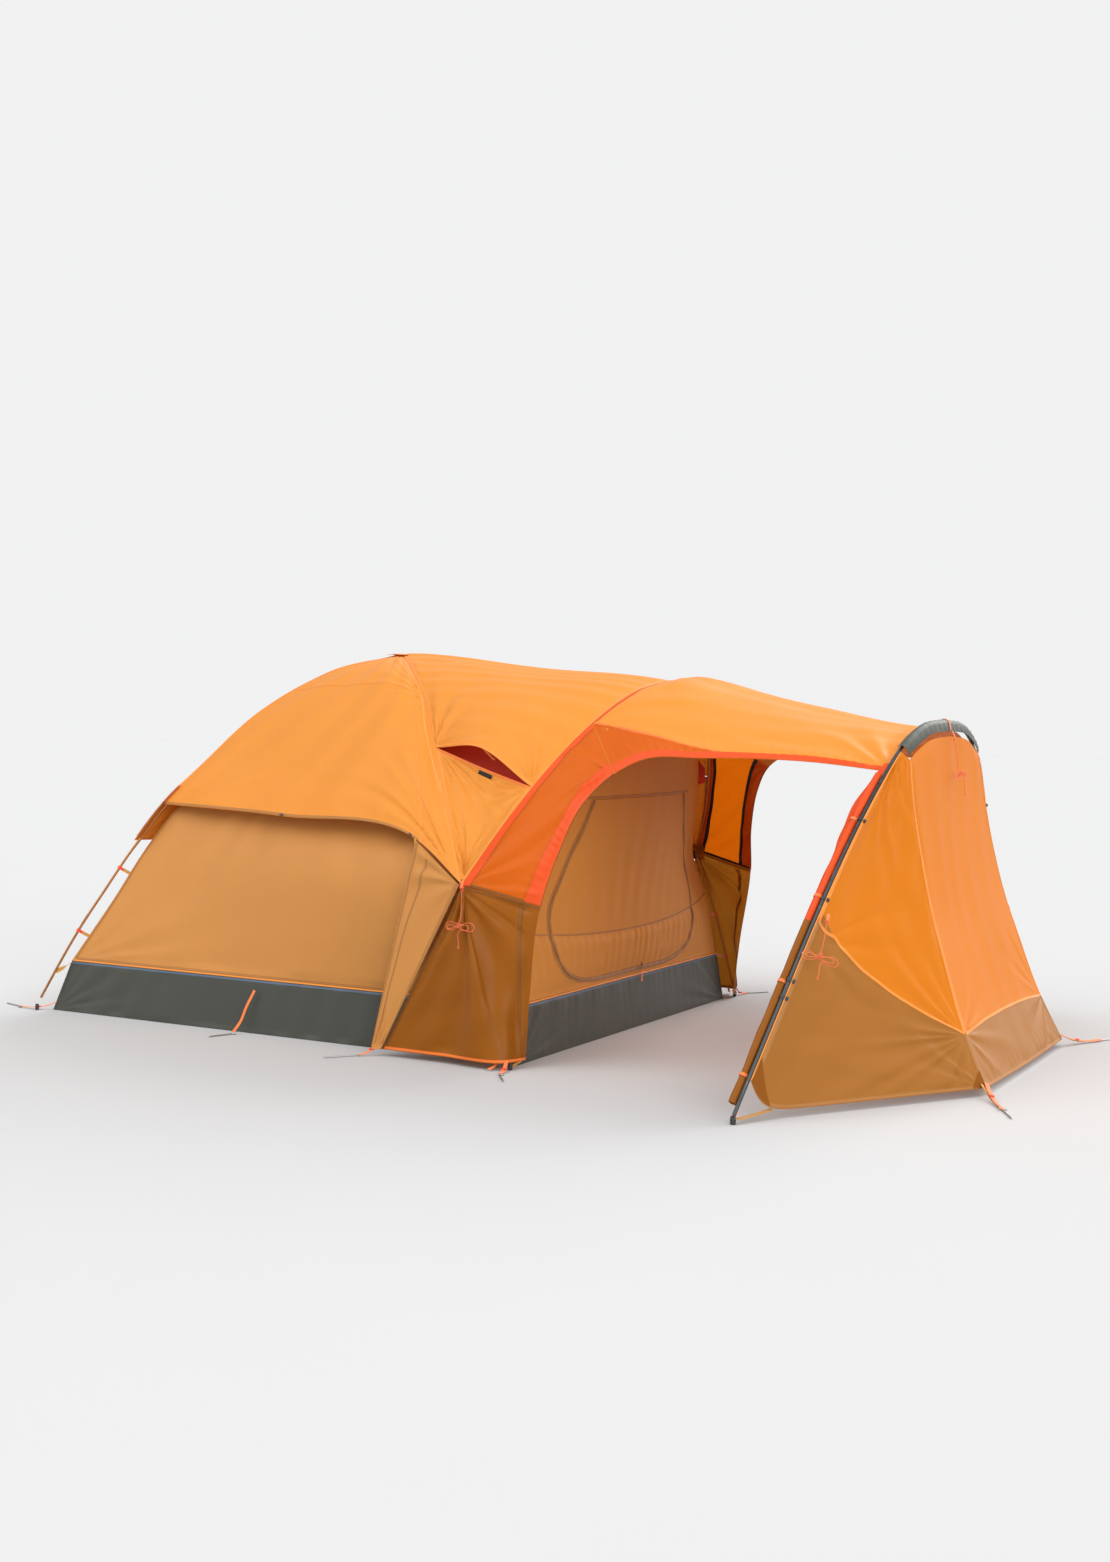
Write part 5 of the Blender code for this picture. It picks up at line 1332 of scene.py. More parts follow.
def add_vents():
    """The panel below each vent, the lining in its mouth in a deep red of painted shade, the stay and its
    pad.
    """
    front, brow = smooth(DOME_FRONT), smooth(BROW)
    on_pole, on_brow = nearest(front, VENT_ON_POLE), nearest(brow, VENT_ON_BROW)
    roof = roof_surface()
    for k, (side, label) in enumerate(SIDES):
        left = mirrored(stretch(front, 0.985, on_pole), side)
        right = mirrored(stretch(brow, 0.015, on_brow), side)
        mid = (left(1.0) + right(1.0)) / 2 + vec(0.0, -0.02 * side, -0.01)
        top = smooth([left(1.0), mid, right(1.0)])
        surface = coons(left, right, line(left(0.0), right(0.0)), top, bump((-0.01, -0.025 * side, 0.0)))
        folds = [
            fan(0.5, 0.0, 16, 0.007, 0.10, 0.6, k + 51), fan(1.0, 1.0, 15, 0.006, 0.08, 0.45, k + 53),
            fan(0.0, 1.0, 15, 0.006, 0.08, 0.45, k + 55), waves(35, 0.11, 0.004, k + 57),
            dents(0.35, 0.006, k + 58),
            gathers("l", 0.035, 0.003, 0.10, k + 59),
        ]
        skin, _ = sewn_panel("vent_panel_cloth_" + label, surface, "fly", folds, "vent_panel_" + label,
                             nu=90, nv=90, edges="lr", fade=0.04,
                             tapes=(("hem", level(0.986, 0.01, 0.99), 0.014, 0.0016),))
        below = vec(0, 0.004 * side, 0.012)
        inner = smooth([roof(np.array(t), np.array(s if side == NEAR else 1 - s)) - below
                        for t, s in ((0.04, 0.03), (0.2, 0.09), (0.5, 0.115), (0.8, 0.09), (0.96, 0.03))])
        edge, droop = vec(0.0, 0.006 * side, 0.004), vec(0.0, 0.045 * side, 0.125)
        outer = smooth([top(t) - edge - droop * math.sin(math.pi * t) ** 0.6
                        for t in np.linspace(0.03, 0.97, 7)])
        a, b = np.meshgrid(np.linspace(0, 1, 60), np.linspace(0, 1, 16))
        grid = outer(a) * col(1 - b) + inner(a) * col(b)
        grid[..., 2] -= 0.020 * np.sin(np.pi * a) * np.sin(np.pi * b)
        # The lining stands for the mesh behind the vent; its deep red is painted shade.
        lining = sheets("vent_lining_" + label, "vent", grid)
        declared(lining, grid[::3, ::3])
        low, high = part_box("vent_prop_" + label)
        head = vec(low.x, low.y if side == NEAR else high.y, high.z)
        foot = vec(high.x, high.y if side == NEAR else low.y, low.z)
        stay = Pile()
        run = head + col(np.linspace(0, 1, 14)) * (foot - head)
        run = run + vec(0, 0.004 * side, 0) * col(np.sin(np.linspace(0, np.pi, 14)))
        stay.sheet(ribbon(run, vec(1, 0, 0), 0.007, 5), 0.002)
        for place in (head, foot):
            stay.block(place, np.eye(3), (0.009, 0.004, 0.005))
        stay.make("vent_stay_" + label, "webbing", body="vent_prop_" + label, slot="plastic",
                  nodes=("vent_prop_" + label,))
        sheets("vent_pad_" + label, "black", patch(skin, 24, 8, (0.44, 0.575), (0.925, 0.965), 0.004),
               thickness=0.003)


def add_brow_panels():
    brow, edge = smooth(BROW), smooth(OPENING_EDGE)
    brow_top = nearest(brow, BROW_SEAM)
    low, high = nearest(edge, EDGE_WAIST), nearest(edge, EDGE_SHOULDER)
    for k, (side, label) in enumerate(SIDES):
        left = mirrored(stretch(brow, 0.0, brow_top), side)
        right = mirrored(stretch(edge, low, high), side)
        surface = ruled(left, right)
        folds = [
            fan(0.0, 0.0, 12, 0.006, 0.12, 0.6, k + 61), fan(1.0, 1.0, 16, 0.007, 0.06, 0.5, k + 63),
            waves(62, 0.10, 0.003, k + 65), dents(0.3, 0.005, k + 67),
            gathers("r", 0.05, 0.0042, 0.07, k + 69),
        ]
        # The brow panels wear the deeper orange copy of the fly cloth, painted shade.
        skin, piece = sewn_panel("brow_panel_cloth_" + label, surface, "brow", folds,
                                 "fly_brow_panel_" + label,
                                 nu=80, nv=120, core=vec(1.7, 0.0, 0.6), edges="", fade=0.04,
                                 tapes=(("dark_seam", level(0.008, 0.03, 0.97), 0.010, 0.0016),))
        grid = patch(skin, 14, 110, (0.79, 0.999), (0.004, 0.999), 0.0022)
        facing = sheets("entrance_facing_" + label, "facing", grid)
        declared(facing, grid[::4, ::4])
        rows = patch(skin, 6, 110, (0.001, 0.032 / skin.size[0]), (0.0, 0.999), 0.0022)
        sheets("brow_facing_" + label, "facing", rows)
        ts = np.linspace(0.002, 0.998, 110)
        rod("entrance_binding_" + label, "dark_seam", skin(np.full_like(ts, 0.999), ts, 0.001), 0.0022,
            sides=8)
        edging = Pile()
        for at, wide in ((0.10, 0.022), (0.80, 0.020)):
            edging.sheet(strip(skin, upright(at, 0.01, 0.99), wide, -0.0022, 90))
        edging.sheet(strip(skin, level(0.012, 0.03, 0.97), 0.014, -0.0022, 60))
        edging.make("brow_inner_tapes_" + label, "black", slot="cord")
        rod("brow_piping_" + label, "seam", brow_ridge(side)(np.linspace(0, 1, 120)), 0.0042, sides=10)


def brow_ridge(side):
    brow = smooth(BROW)
    return lambda t: brow(t) * vec(1.0, side, 1.0) + vec(-0.004, 0.0, 0.003)


def leg_panel_surface(side):
    """From the fly's ground corner, over the ridge on the leg, to the entrance edge."""
    leg, edge = smooth(FRONT_LEG), smooth(OPENING_EDGE)
    waist = nearest(edge, EDGE_WAIST)
    toe = on_side((1.545, 1.372, 0.035), side)
    along = smooth([on_side(FLY_GROUND_CORNER, side) + vec(0.075, 0.0, 0.0),
                    on_side((1.17, 1.385, 0.035), side), toe, on_side(OPENING_EDGE[0], side)])
    ridge = nearest(along, toe)
    right = mirrored(stretch(edge, 0.0, waist), side)
    left = line(along(0.0), on_side(HUB, side) + vec(0.008, 0.0, -0.012))
    lift = vec(0.0, 0.013 * side, 0.0)
    flip = vec(1.0, side, 1.0)
    standing = leg(1.0) * flip + lift

    def panel(w, v):
        w, v = np.asarray(w, float), np.asarray(v, float)
        u = np.where(w <= 0.7, ridge * w / 0.7, ridge + (1 - ridge) * (w - 0.7) / 0.3)
        middle = leg(1 - v) * flip + lift
        a, b = col(np.clip(u / ridge, 0, 1)), col(np.clip((u - ridge) / (1 - ridge), 0, 1))
        near_part = col(u <= ridge)
        base = np.where(near_part, left(v) * (1 - a) + middle * a, middle * (1 - b) + right(v) * b)
        flat = np.where(near_part, left(0.0) * (1 - a) + standing * a, standing * (1 - b) + right(0.0) * b)
        return base + (along(u) - flat) * col(1 - v)

    return panel


def add_corner_panels():
    for k, (side, label) in enumerate(SIDES):
        clear = vec(0.0, 0.016 * side, 0.0)
        corner, hem = on_side(FLY_GROUND_CORNER, side) + clear, on_side(HEM_FRONT_CORNER, side) + clear
        left = line(corner + vec(0.02, 0.0, 0.0), hem)
        right = line(corner + vec(0.08, 0.0, 0.0), on_side(HUB, side) + clear + vec(-0.008, 0.0, 0.0))
        surface = ruled(left, right)
        folds = [fan(1.0, 1.0, 12, 0.006, 0.1, 0.7, k + 71), waves(80, 0.13, 0.003, k + 73),
                 dents(0.3, 0.006, k + 75), fan(0.5, 0.0, 9, 0.004, 0.08, 0.5, k + 77)]
        sewn_panel("gusset_cloth_" + label, surface, "tan", folds, "fly_gusset_" + label, slot="tan",
                   nu=50, nv=110, seam="tan_seam", edges="lr", fade=0.04,
                   tapes=(("tan_seam", [(0.2, 0.02), (0.26, 0.5), (0.3, 0.97)], 0.010, 0.0016),))
        folds = [
            waves(76, 0.15, 0.012, k + 81, 1.0), fan(0.66, 1.0, 11, 0.016, 0.12, 0.8, k + 83),
            gathers("t", 0.06, 0.004, 0.15, k + 85), gathers("b", 0.09, 0.003, 0.12, k + 87),
            dents(0.28, 0.010, k + 89), waves(20, 0.2, 0.004, k + 91),
        ]
        sewn_panel("leg_panel_cloth_" + label, leg_panel_surface(side), "dark_tan", folds,
                   "fly_leg_panel_" + label, slot="dark_tan", nu=150, nv=120, seam="dark_seam",
                   edges="lt", fade=0.05, core=vec(1.3, 0.0, 0.4),
                   tapes=(("dark_seam", upright(0.93, 0.01, 0.97), 0.012, 0.0018),
                          ("hem", [(0.01, 0.012), (0.4, 0.012), (0.7, 0.012), (0.99, 0.012)], 0.014, 0.002)))


def canopy_surface():
    brow, edge, hoop = smooth(BROW), smooth(OPENING_EDGE), smooth(HOOP)
    brow_low, shoulder = nearest(brow, BROW_SEAM), nearest(edge, EDGE_SHOULDER)
    hoop_low = nearest(hoop, (3.185, 0.72, 1.46))

    def rear(t):
        half, flip = halved(t)
        share = col(np.clip(half / 0.3, 0, 1))
        start = edge(shoulder) * (1 - share) + brow(brow_low) * share
        over = brow(brow_low + (1 - brow_low) * np.clip((half - 0.3) / 0.7, 0, 1))
        return np.where(col(half) < 0.3, start, over) * flip

    def front(t):
        half, flip = halved(t)
        point = hoop(hoop_low + (1 - hoop_low) * half)
        centre = np.stack([point[..., 0], 0 * half, 0 * half + 0.6], axis=-1)
        return (inset(point, 0.030, centre) + vec(-0.016, 0.0, 0.0)) * flip

    def side_edge(side):
        end = 0.0 if side == NEAR else 1.0
        return pinned(mirrored(stretch(edge, shoulder, 1.0), side), rear(end), front(end))

    def sag(u, v):
        drop = 0.248 * u**1.5 * (1 - u**1.5) * np.sin(np.pi * v) ** 1.5
        return vec(0.0, 0.0, -1.0) * col(drop)

    return coons(rear, front, side_edge(NEAR), side_edge(FAR), sag)


def add_canopy():
    folds = [
        waves(3, 0.20, 0.0045, 101, 0.9), fan(1.0, 0.0, 13, 0.006, 0.15, 0.9, 102),
        fan(1.0, 1.0, 13, 0.006, 0.15, 0.9, 103), fan(0.0, 0.13, 12, 0.006, 0.12, 0.6, 104),
        fan(0.0, 0.87, 12, 0.006, 0.12, 0.6, 105), gathers("b", 0.055, 0.0045, 0.07, 106),
        gathers("t", 0.055, 0.0045, 0.07, 107), dents(0.5, 0.007, 108),
        fan(0.0, 0.5, 7, 0.005, 0.2, 0.8, 109),
    ]
    skin, _ = sewn_panel(
        "canopy_cloth", canopy_surface(), "fly", folds, "vestibule_canopy", nu=150, nv=170, fade=0.05,
        core=PORCH_CORE, edges="r",
        tapes=(("hem", [(0.004, 0.152), (0.10, 0.10), (0.22, 0.062), (0.42, 0.016)], 0.010, 0.0016),
               ("hem", [(0.004, 0.848), (0.10, 0.90), (0.22, 0.938), (0.42, 0.984)], 0.010, 0.0016)))
    hems = Pile()
    for low, high in ((0.0005, 0.020), (0.9995, 0.980)):
        hems.sheet(patch(skin, 150, 5, (0.004, 0.998), (low, high), 0.0022))
    hems.make("canopy_hems", "facing")
    seam_u, seam_v = (0.0, 0.10, 0.22, 0.42, 0.55), (0.154, 0.10, 0.062, 0.016, 0.0005)
    below = Pile()
    for flip in (False, True):
        def reach(u, flip=flip):
            share = np.interp(u, seam_u, seam_v)
            return 1 - share if flip else share
        rim = 0.9996 if flip else 0.0004
        below.sheet(patch(skin, 120, 14, (0.002, 0.55), (rim, reach), 0.0012))
    # These edge panels are fly cloth, laid over again in the deeper orange copy as painted shade.
    below.make("canopy_edge_panels_painted_shade", "brow")
    sheets("brow_facing_over", "facing", patch(skin, 6, 120, (0.001, 0.020), (0.155, 0.845), 0.0022))


def add_hoop_cap():
    """The grey sleeve over the top of the hoop, with bound edges and a centre strap."""
    hoop = smooth(HOOP)
    low = nearest(hoop, (3.20, 0.60, 1.55))
    section = smooth([(-0.012, 0.010), (-0.006, 0.0155), (0.008, 0.018), (0.022, 0.010),
                      (0.030, -0.012), (0.034, -0.036)])

    def surface(u, v):
        u, v = np.broadcast_arrays(np.asarray(u, float), np.asarray(v, float))
        half = 1 - np.abs(1 - 2 * u)
        point = hoop(low + (1 - low) * half)
        centre = np.stack([point[..., 0], 0 * half, 0 * half + 0.75], axis=-1)
        cut = section(v)
        moved = point + unit(point - centre) * cut[..., 1:2]
        moved[..., 0] += cut[..., 0]
        moved[..., 1] *= np.where(u <= 0.5, -1.0, 1.0)
        return moved

    skin = skin_of(surface, vec(3.2, 0.0, 1.0), [waves(88, 0.07, 0.0012, 111), dents(0.1, 0.0012, 112)],
                   fade=0.01)
    grid = patch(skin, 170, 22)
    piece = sheets("hoop_sleeve_cloth", "cap", grid, nodes=("hoop_cap",))
    edge = Pile()
    ts = np.linspace(0.001, 0.999, 140)
    for at in (0.0, 1.0):
        edge.tube(skin(ts, np.full_like(ts, at), 0.0), 0.0018, sides=8)
    binding = edge.make("hoop_sleeve_binding", "black", slot="cap_grey")
    sheets("hoop_sleeve_strap", "webbing", patch(skin, 6, 24, (0.493, 0.507), (0.0, 0.98), 0.0018),
           thickness=0.0014)
    sheets("hoop_sleeve_strap_edge", "blue", patch(skin, 3, 24, (0.5085, 0.5125), (0.0, 0.98), 0.0018),
           thickness=0.0014)
    declared(piece, grid[::3, ::5])


def add_rolled_doors():
    """The side doors, rolled around themselves and tied behind the hoop's legs."""
    hoop = smooth(HOOP)
    top = nearest(hoop, (3.18, 0.78, 1.42))
    change = 0.50              # how far up the roll its lower cloth gives way to the upper
    tied_at = (0.08, 0.33, 0.58, 0.83)
    for k, (side, label) in enumerate(SIDES):
        ts = np.linspace(0.02, top, 150)
        run = hoop(ts) * vec(1.0, side, 1.0) + vec(-0.031, -0.016 * side, 0.004)
        run[:, 2] = np.maximum(run[:, 2], 0.045)
        tangent = unit(np.gradient(run, axis=0))
        ahead = unit(np.cross(tangent, np.cross(vec(1.0, 0.0, 0.0), tangent)))
        other = np.cross(tangent, ahead)
        turns = np.linspace(0, 2 * np.pi * 2.4, 66)
        shares = np.linspace(0, 1, 150)
        ties = np.min(np.abs(shares[:, None] - np.array(tied_at)[None, :]), axis=1)
        full = 0.88 + 0.12 * ease(ties / 0.07) + 0.07 * noise(shares * 14, shares * 0, k + 121)
        spiral = (0.010 + 0.012 * turns / turns[-1])[None, :] * full[:, None]
        spiral = spiral + 0.0016 * noise(turns[None, :] * 1.5, shares[:, None] * 22, k + 123)
        grid = (run[:, None, :] + col(spiral * np.cos(turns)) * ahead[:, None, :]
                + col(spiral * np.sin(turns) * 1.12) * other[:, None, :])
        cut = int(150 * change)
        # The lower roll is the beak's tan cloth, given the darker dark_tan cloth as painted shade.
        for name, rows, key in (("lower", slice(0, cut + 1), "dark_tan"),
                                ("upper", slice(cut, 150), "facing")):
            piece = sheets(f"rolled_door_{name}_{label}", key, grid[rows], thickness=ROLLED_CLOTH,
                           nodes=("rolled_door_" + label,))
            declared(piece, grid[rows][::3, ::2])
        ties = Pile()
        for share in tied_at:
            i = int(share * 149)
            a = np.linspace(0, 2 * np.pi, 30)[:-1]
            size = 0.0225 * full[i]
            around = run[i] + col(size * np.cos(a)) * ahead[i] + col(size * 1.12 * np.sin(a)) * other[i]
            ties.sheet(ribbon(around, tangent[i], 0.007), 0.0014, ring=True)
            reach = run[i] + col(np.linspace(0.022, 0.052, 6)) * ahead[i]
            ties.sheet(ribbon(reach, tangent[i], 0.006), 0.0014)
        ties.make("rolled_door_ties_" + label, "webbing")
        t = np.linspace(0, 1, 40)
        a, b = np.meshgrid(t, t)
        high, low = hoop(nearest(hoop, (3.185, 0.70, 1.48))), hoop(nearest(hoop, (3.11, 1.20, 1.0)))
        spine = high * (1 - b[..., None]) + low * b[..., None] + vec(-0.010, 0.0, 0.0)
        wide = 0.095 * np.sin(np.pi * np.clip(b * 0.9 + 0.06, 0, 1)) ** 0.8 * (1 - 0.35 * b)
        flap = spine + np.stack([-wide * a, -0.10 * wide * a, -0.25 * wide * a], axis=-1)
        wave = 0.010 * np.sin(np.pi * 5.2 * b + 2.0 * a) * a + 0.006 * noise(a * 4, b * 9, k + 125)
        flap[..., 1] += wave
        flap = flap * vec(1.0, side, 1.0)
        piece = sheets("rolled_door_flap_" + label, "facing", flap)
        declared(piece, flap[::2, ::2])


def beak_side_surface(side):
    hoop, fold = smooth(HOOP), smooth(BEAK_FOLD)
    low, high = nearest(hoop, (2.944, 1.755, 0.17)), nearest(hoop, (3.20, 0.625, 1.53))
    clear = vec(HOOP_RADIUS + 0.004, 0.0, 0.0)

    def left(t):
        return (hoop(low + (high - low) * np.asarray(t, float)) + clear) * vec(1.0, side, 1.0)

    right = mirrored(fold, side)
    start, end = left(0.0), right(0.0)

    def bottom(t):
        t = np.asarray(t, float)
        point = start * col(1 - t) + end * col(t)
        point[..., 2] = end[2] + (start[2] - end[2]) * (1 - t) ** 26
        return point

    return coons(left, right, bottom, line(left(1.0), right(1.0)), bump((-0.015, -0.02 * side, 0.0)))


def beak_end_surface():
    fold, hoop = smooth(BEAK_FOLD), smooth(HOOP)
    low = nearest(hoop, (3.20, 0.575, 1.56))
    left, right = mirrored(fold, NEAR), mirrored(fold, FAR)

    def crown(t):
        half, flip = halved(t)
        point = hoop(low + (1 - low) * half)
        centre = np.stack([point[..., 0], 0 * half, 0 * half + 0.6], axis=-1)
        return (inset(point, 0.013, centre) + vec(0.017, 0.0, 0.0)) * flip

    top = pinned(crown, left(1.0), right(1.0))
    bottom = smooth([left(0.0), (3.665, 0.0, 0.030), right(0.0)])
    return coons(left, right, bottom, top, bump((-0.02, 0.0, 0.0)))


BEAK_SEAM = 0.165          # share of the beak's height below the seam, at its folds


def two_tone(name, surface, node, folds, split, label, core):
    """A beak panel in two cloths that meet in a seam at the height split(u)."""
    skin = skin_of(surface, core, folds, 0.05)
    # The upper cloth is the deeper beak copy of the fly's orange, painted light let through.
    for part, low, high, key in (("lower", 0.0, split, "low_tan"), ("upper", split, 1.0, "beak")):
        rows = 60 if part == "lower" else 110
        piece = sheets(f"{name}_{part}{label}", key, patch(skin, 110, rows, v=(low, high)), nodes=(node,))
        flat = plain(surface, 24, 20, v=(low, high))
        trim = Pile()
        if part == "lower":
            for at in (0.004, 0.996):
                top = float(split(np.array(at))) - 0.004
                trim.sheet(strip(skin, [(at, 0.01), (at, top / 2), (at, top)], 0.012, 0.0015, 60))
            trim.sheet(strip(skin, level(0.006, 0.01, 0.99), 0.014, 0.0015, 90))
            tape = trim.make(f"{name}_{part}_seams{label}", "tan_seam")
        else:
            for at in (0.004, 0.996):
                low_v = float(split(np.array(at))) + 0.004
                trim.sheet(strip(skin, [(at, low_v), (at, (low_v + 1) / 2), (at, 0.996)], 0.012, 0.0015, 90))
            us = np.linspace(0.004, 0.996, 9)
            trim.sheet(strip(skin, [(float(u), float(split(u))) for u in us], 0.013, 0.0020, 110))
            tape = trim.make(f"{name}_{part}_seams{label}", "seam", slot="canopy")
        declared(piece, flat)
    return skin


def add_beak():
    for k, (side, label) in enumerate(SIDES):
        folds = [
            fan(0.0, 1.0, 20, 0.006, 0.12, 0.9, k + 131), fan(1.0, 0.16, 20, 0.005, 0.10, 0.55, k + 133),
            waves(70, 0.20, 0.0032, k + 135, 1.0), fan(0.0, 0.42, 10, 0.004, 0.15, 0.6, k + 137),
            fan(1.0, 0.0, 12, 0.005, 0.10, 0.6, k + 139), dents(0.5, 0.008, k + 141),
        ]

        def split(u):
            left = 1 - np.asarray(u, float)
            return BEAK_SEAM + 0.305 * left - 0.055 * left**110

        skin = two_tone("beak_side", beak_side_surface(side), "beak_side_" + label, folds, split, "_" + label,
                        vec(3.0, 0.0, 0.5))
        corners = Pile()
        t = np.linspace(0, 1, 14)
        a, b = np.meshgrid(t, t)
        corners.sheet(skin(0.002 + 0.070 * a, 0.004 + 0.060 * b * (1 - 0.96 * a), 0.0028))
        corners.sheet(skin(0.998 - 0.055 * a, 0.004 + 0.050 * b * (1 - 0.96 * a), 0.0028))
        corners.make("beak_corner_patches_" + label, "dark_tan")
        ts = np.linspace(0.002, 0.998, 140)
        rod("beak_side_binding_" + label, "piping", skin(np.full_like(ts, 0.0), ts, 0.0), 0.0026, sides=8)
    folds = [
        gathers("b", 0.07, 0.004, 0.08, 151), fan(0.0, BEAK_SEAM, 14, 0.0035, 0.08, 0.5, 152),
        fan(1.0, BEAK_SEAM, 14, 0.0035, 0.08, 0.5, 153), waves(86, 0.26, 0.0028, 154, 0.9),
        dents(0.5, 0.007, 156),
    ]
    split = (lambda u: BEAK_SEAM + 0.008 * np.sin(np.pi * np.asarray(u, float)))
    two_tone("beak_end", beak_end_surface(), "beak_end", folds, split, "", vec(3.0, 0.0, 0.5))


# ---------------------------------------------------------------- straps, clips and pegs
def strap(pile, points, width, normal):
    """A flat strap through the points, its width square to its run and to the normal."""
    run = smooth(points)(np.linspace(0, 1, 24))
    tangent = unit(np.gradient(run, axis=0))
    across = unit(np.cross(tangent, np.array(normal, float)))
    pile.sheet(np.stack([run + across * width * k for k in (-0.5, -0.17, 0.17, 0.5)]), STRAP)


def pole_clip(clips, tabs, centre, along, towards, size=POLE_RADIUS, reach=0.05):
    """A hooked clip round a pole with a webbing tab that runs to the cloth."""
    along, towards = unit(along), unit(towards - np.dot(towards, unit(along)) * unit(along))
    other = np.cross(along, towards)
    a = np.linspace(0.5, 2 * np.pi - 0.5, 26)
    ring = centre + col((size + 0.0028) * np.cos(a)) * towards + col((size + 0.0028) * np.sin(a)) * other
    clips.sheet(np.stack([ring + along * w for w in (-0.008, -0.004, 0.004, 0.008)]), 0.0026)
    clips.block(centre + towards * (size + 0.009), (along, other, towards), (0.009, 0.006, 0.006))
    run = centre + col(np.linspace(size + 0.012, reach, 6)) * towards
    tabs.sheet(ribbon(run, along, 0.009), WEBBING)


def add_clips():
    rear, leg, hoop = smooth(DOME_REAR), smooth(FRONT_LEG), smooth(HOOP)
    inner_rear, inner_front = smooth(INNER_REAR), smooth(INNER_FRONT)
    for side, label in SIDES:
        flip = vec(1.0, side, 1.0)
        clips, tabs = Pile(), Pile()
        for t in (0.70, 0.84):
            place = rear(t) * flip
            depth = POLE_INSET * max(0.0, (place[2] - 0.5) / 0.5)
            place = place + unit(POLE_CORE - place) * depth
            cloth = inner_rear(nearest(inner_rear, rear(t))) * flip
            pole_clip(clips, tabs, place, rear(t + 0.01) * flip - rear(t - 0.01) * flip, cloth - place,
                      reach=float(np.linalg.norm(cloth - place)))
        for t in (0.45, 0.75):
            place = leg(t) * flip + vec(-0.2, -side, 0.0) * POLE_INSET * (1 - t**4)
            cloth = inner_front(nearest(inner_front, leg(t))) * flip
            pole_clip(clips, tabs, place, (leg(t + 0.02) - leg(t - 0.02)) * flip, cloth - place,
                      reach=float(np.linalg.norm(cloth - place)))
        clips.make("inner_clips_" + label, "red")
        tabs.make("inner_clip_tabs_" + label, "tan_webbing")
        clips, tabs = Pile(), Pile()
        shares = np.linspace(0, 1, 200)
        for z in (0.50, 0.57, 0.90, 1.235):
            t = nearest(hoop, hoop(np.interp(z, hoop(shares)[:, 2], shares)))
            pole_clip(clips, tabs, hoop(t) * flip, (hoop(t + 0.01) - hoop(t - 0.01)) * flip,
                      vec(0.05, -0.02 * side, 0.0), size=HOOP_RADIUS, reach=0.026)
        clips.make("hoop_clips_" + label, "plastic")
        tabs.make("hoop_clip_tabs_" + label, "black_webbing")
        x, z = np.meshgrid(np.linspace(-0.045, 0.045, 12), np.linspace(-0.045, 0.045, 12))
        middle = on_side(HUB, side) + vec(0.012, -0.026 * side, 0.0)
        y = -0.5 * side * (x**2 + z**2) - 0.25 * side * z
        sheets("hub_backing_" + label, "dark_tan", middle + np.stack([x, y, z], axis=-1))
        hub = on_side(HUB, side) + vec(0.004, 0.010 * side, -0.004)
        a = np.linspace(0, 2 * np.pi, 25)[:-1]
        ring = hub + col(0.014 * np.cos(a)) * vec(1.0, 0, 0) + col(0.014 * np.sin(a)) * vec(0, 0, 1.0)
        rod("hub_ring_" + label, "red", ring, 0.0026, sides=8, loop=True)


PEGS = {
    "peg_rear": ((-1.73, 1.255), (-0.97, -0.26)),
    "peg_fly_corner": ((0.735, 1.44), (-0.62, 0.78)),
    "peg_beak": ((3.80, 0.98), (0.48, 0.88)),
}


# Material, width, facing and run of each strap on one side.
FLAT = (0.3, 0.0, 1.0)     # the way a strap on the ground faces
STRAPS = (
    ("webbing", 0.016, FLAT, [(-1.50, 1.20, 0.05), (-1.56, 1.235, 0.022), (-1.62, 1.262, 0.012),
        (-1.70, 1.262, 0.009), (-1.742, 1.262, 0.009)]),
    ("tan_webbing", 0.022, (0.6, 0.6, 0.4), [
        (-1.445, 1.150, 0.27), (-1.48, 1.185, 0.24), (-1.515, 1.212, 0.215)]),
    ("webbing", 0.014, (0.0, 1.0, 0.4), [
        (-0.10, 1.205, 0.225), (-0.13, 1.235, 0.14), (-0.15, 1.262, 0.06), (-0.17, 1.295, 0.011)]),
    ("webbing", 0.016, FLAT, [
        (0.80, 1.382, 0.055), (0.778, 1.405, 0.025), (0.755, 1.425, 0.010), (0.738, 1.438, 0.009)]),
    ("webbing", 0.018, FLAT, [
        (1.545, 1.372, 0.050), (1.552, 1.395, 0.026), (1.560, 1.425, 0.010), (1.570, 1.475, 0.009)]),
    ("webbing", 0.014, FLAT, [(1.50, 1.362, 0.055), (1.49, 1.395, 0.020), (1.48, 1.43, 0.009)]),
    ("tan_webbing", 0.016, FLAT, [(1.575, 1.262, 0.050), (1.565, 1.30, 0.030), (1.553, 1.34, 0.014)]),
    ("webbing", 0.020, FLAT, [(3.66, 0.72, 0.060), (3.70, 0.795, 0.030), (3.75, 0.885, 0.011),
        (3.795, 0.965, 0.009), (3.802, 0.99, 0.009)]),
    ("tan_webbing", 0.013, FLAT, [
        (3.645, 0.74, 0.055), (3.70, 0.815, 0.020), (3.755, 0.905, 0.008), (3.79, 0.955, 0.0075)]),
    ("tan_webbing", 0.020, FLAT, [(2.925, 1.826, 0.020), (2.968, 1.740, 0.028), (3.010, 1.656, 0.040)]),
    ("webbing", 0.014, (1.0, 0.0, 0.2), [(2.945, 1.765, 0.165), (2.932, 1.80, 0.10), (2.918, 1.835, 0.03)]),
)


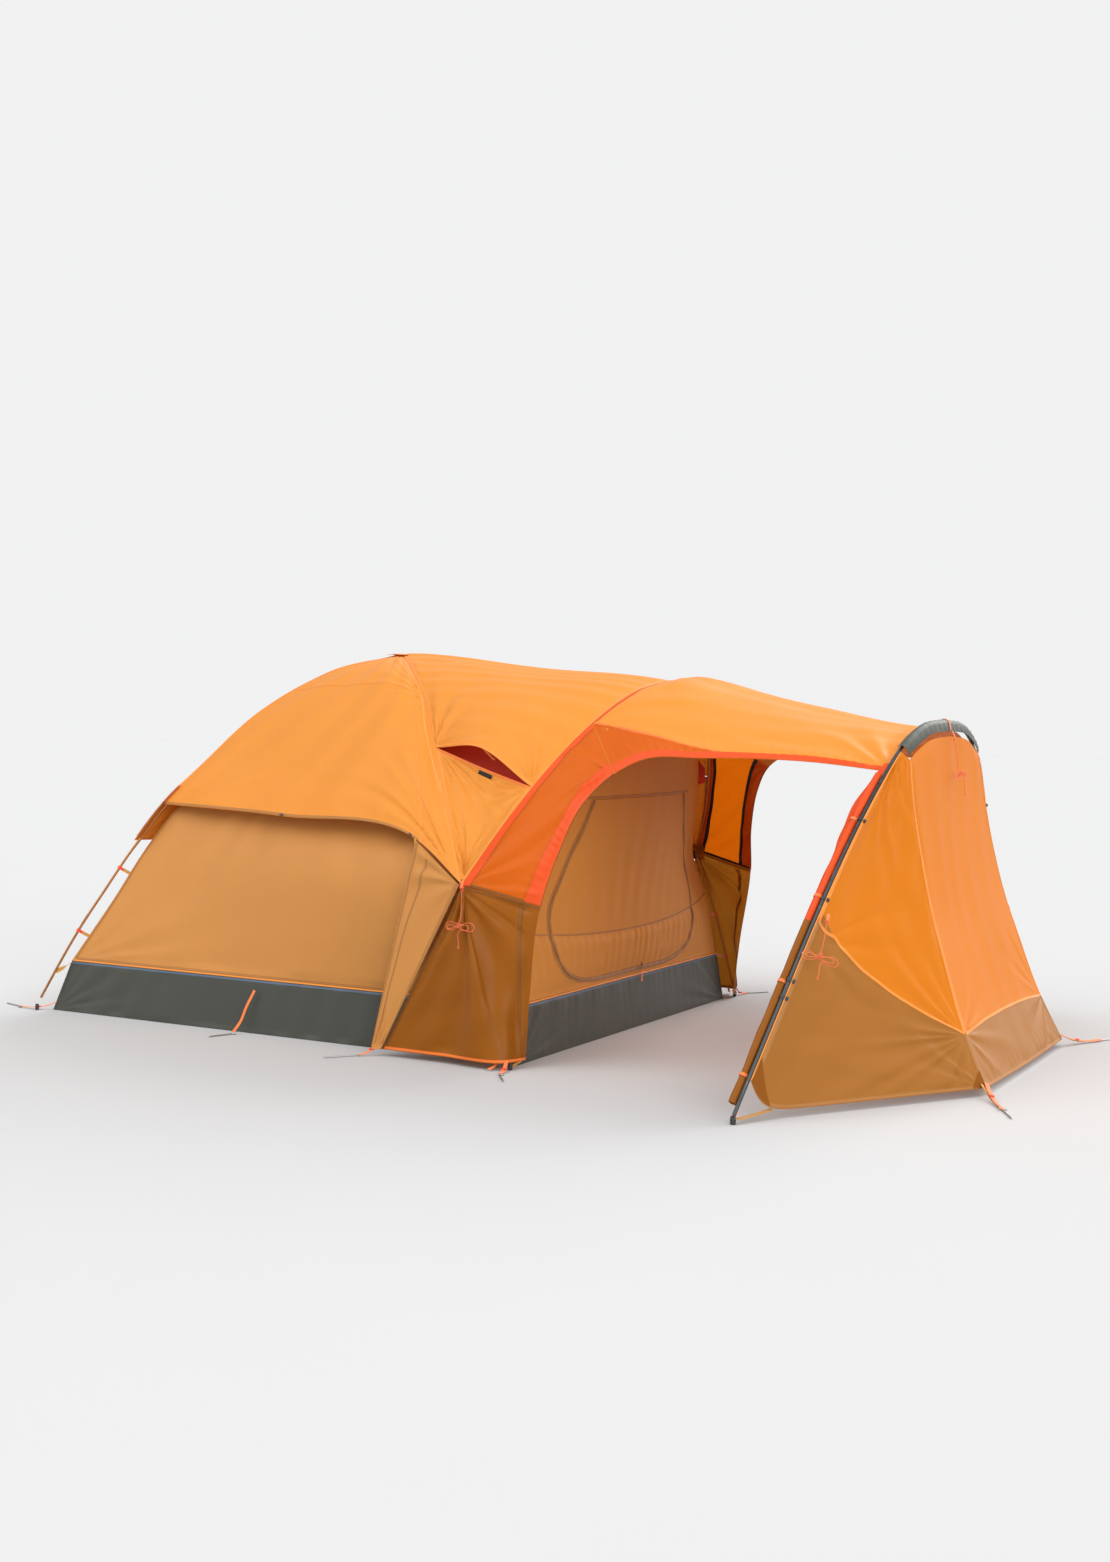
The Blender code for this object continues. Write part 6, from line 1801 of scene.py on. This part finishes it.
def lay_peg(pile, start, aim, length=0.18):
    """A bar peg lying on the ground: a pointed shaft with a hooked head."""
    radius = 0.0035
    first = np.array([start[0], start[1], radius * 1.1])
    step = unit(np.array([aim[0], aim[1], 0.0])) * length
    turn = np.array([-step[1], step[0], 0.0]) / length * 0.022
    points = [first + step * t for t in (1.0, 0.97, 0.7, 0.4, 0.1, 0.03)]
    points += [first + turn * 0.35, first + turn]
    run = smooth(points)(np.linspace(0, 1, 60))
    pile.tube(run, radius * np.clip(np.linspace(0.15, 16, 60), 0, 1), sides=10)


def add_pegs_and_straps():
    for side, label in SIDES:
        for name, (start, aim) in PEGS.items():
            pile = Pile()
            lay_peg(pile, (start[0], start[1] * side), (aim[0], aim[1] * side))
            pile.make(f"{name}_bar_{label}", "steel", nodes=(f"{name}_{label}",))
        straps, loops = {"webbing": Pile(), "tan_webbing": Pile()}, Pile()
        flip = vec(1.0, side, 1.0)
        for key, width, normal, points in STRAPS:
            strap(straps[key], np.array(points) * flip, width, normal)
        straps["webbing"].make("ground_straps_" + label, "webbing")
        straps["tan_webbing"].make("corner_straps_" + label, "tan_webbing")
        for place in ((-1.60, 1.256, 0.016), (1.556, 1.412, 0.016), (3.715, 0.825, 0.026),
                      (0.785, 1.398, 0.032)):
            centre = np.array(place) * flip
            loops.block(centre, np.eye(3), (0.012, 0.009, 0.0035))
        loops.make("strap_adjusters_" + label, "red")
        extra = Pile()
        lay_peg(extra, (-0.165, 1.300 * side), (-0.35, 0.94 * side), 0.15)
        lay_peg(extra, (1.575, 1.490 * side), (0.62, 0.78 * side), 0.15)
        extra.make("side_peg_bars_" + label, "steel")


def add_apex_patch():
    """The doubled cloth where the four roof seams meet over the crossed poles."""
    a = np.linspace(0, 2 * np.pi, 49)[:-1]
    r = np.linspace(0.02, 1.0, 14)
    reach = 0.075 * (1 - 0.18 * np.cos(4 * a))
    x, y = r[:, None] * reach * np.cos(a), r[:, None] * reach * np.sin(a)
    grid = np.stack([x, y, PEAK + 0.0035 - 1.2 * (x**2 + y**2)], axis=-1)
    piece = sheets("apex_patch", "fly", grid, ring=True)
    width = float(grid[..., 0].max() - grid[..., 0].min()) * 1.02
    min(sheet_area(grid, True), width * width * 0.95)


add_floor()
add_inner_walls()
add_front_wall_and_door()
add_ceiling()
add_poles()
add_feet()
add_fly_sides()
add_fly_rear()
add_fly_roof()
add_vents()
add_brow_panels()
add_corner_panels()
add_canopy()
add_hoop_cap()
add_rolled_doors()
add_beak()
add_clips()
add_pegs_and_straps()
add_apex_patch()
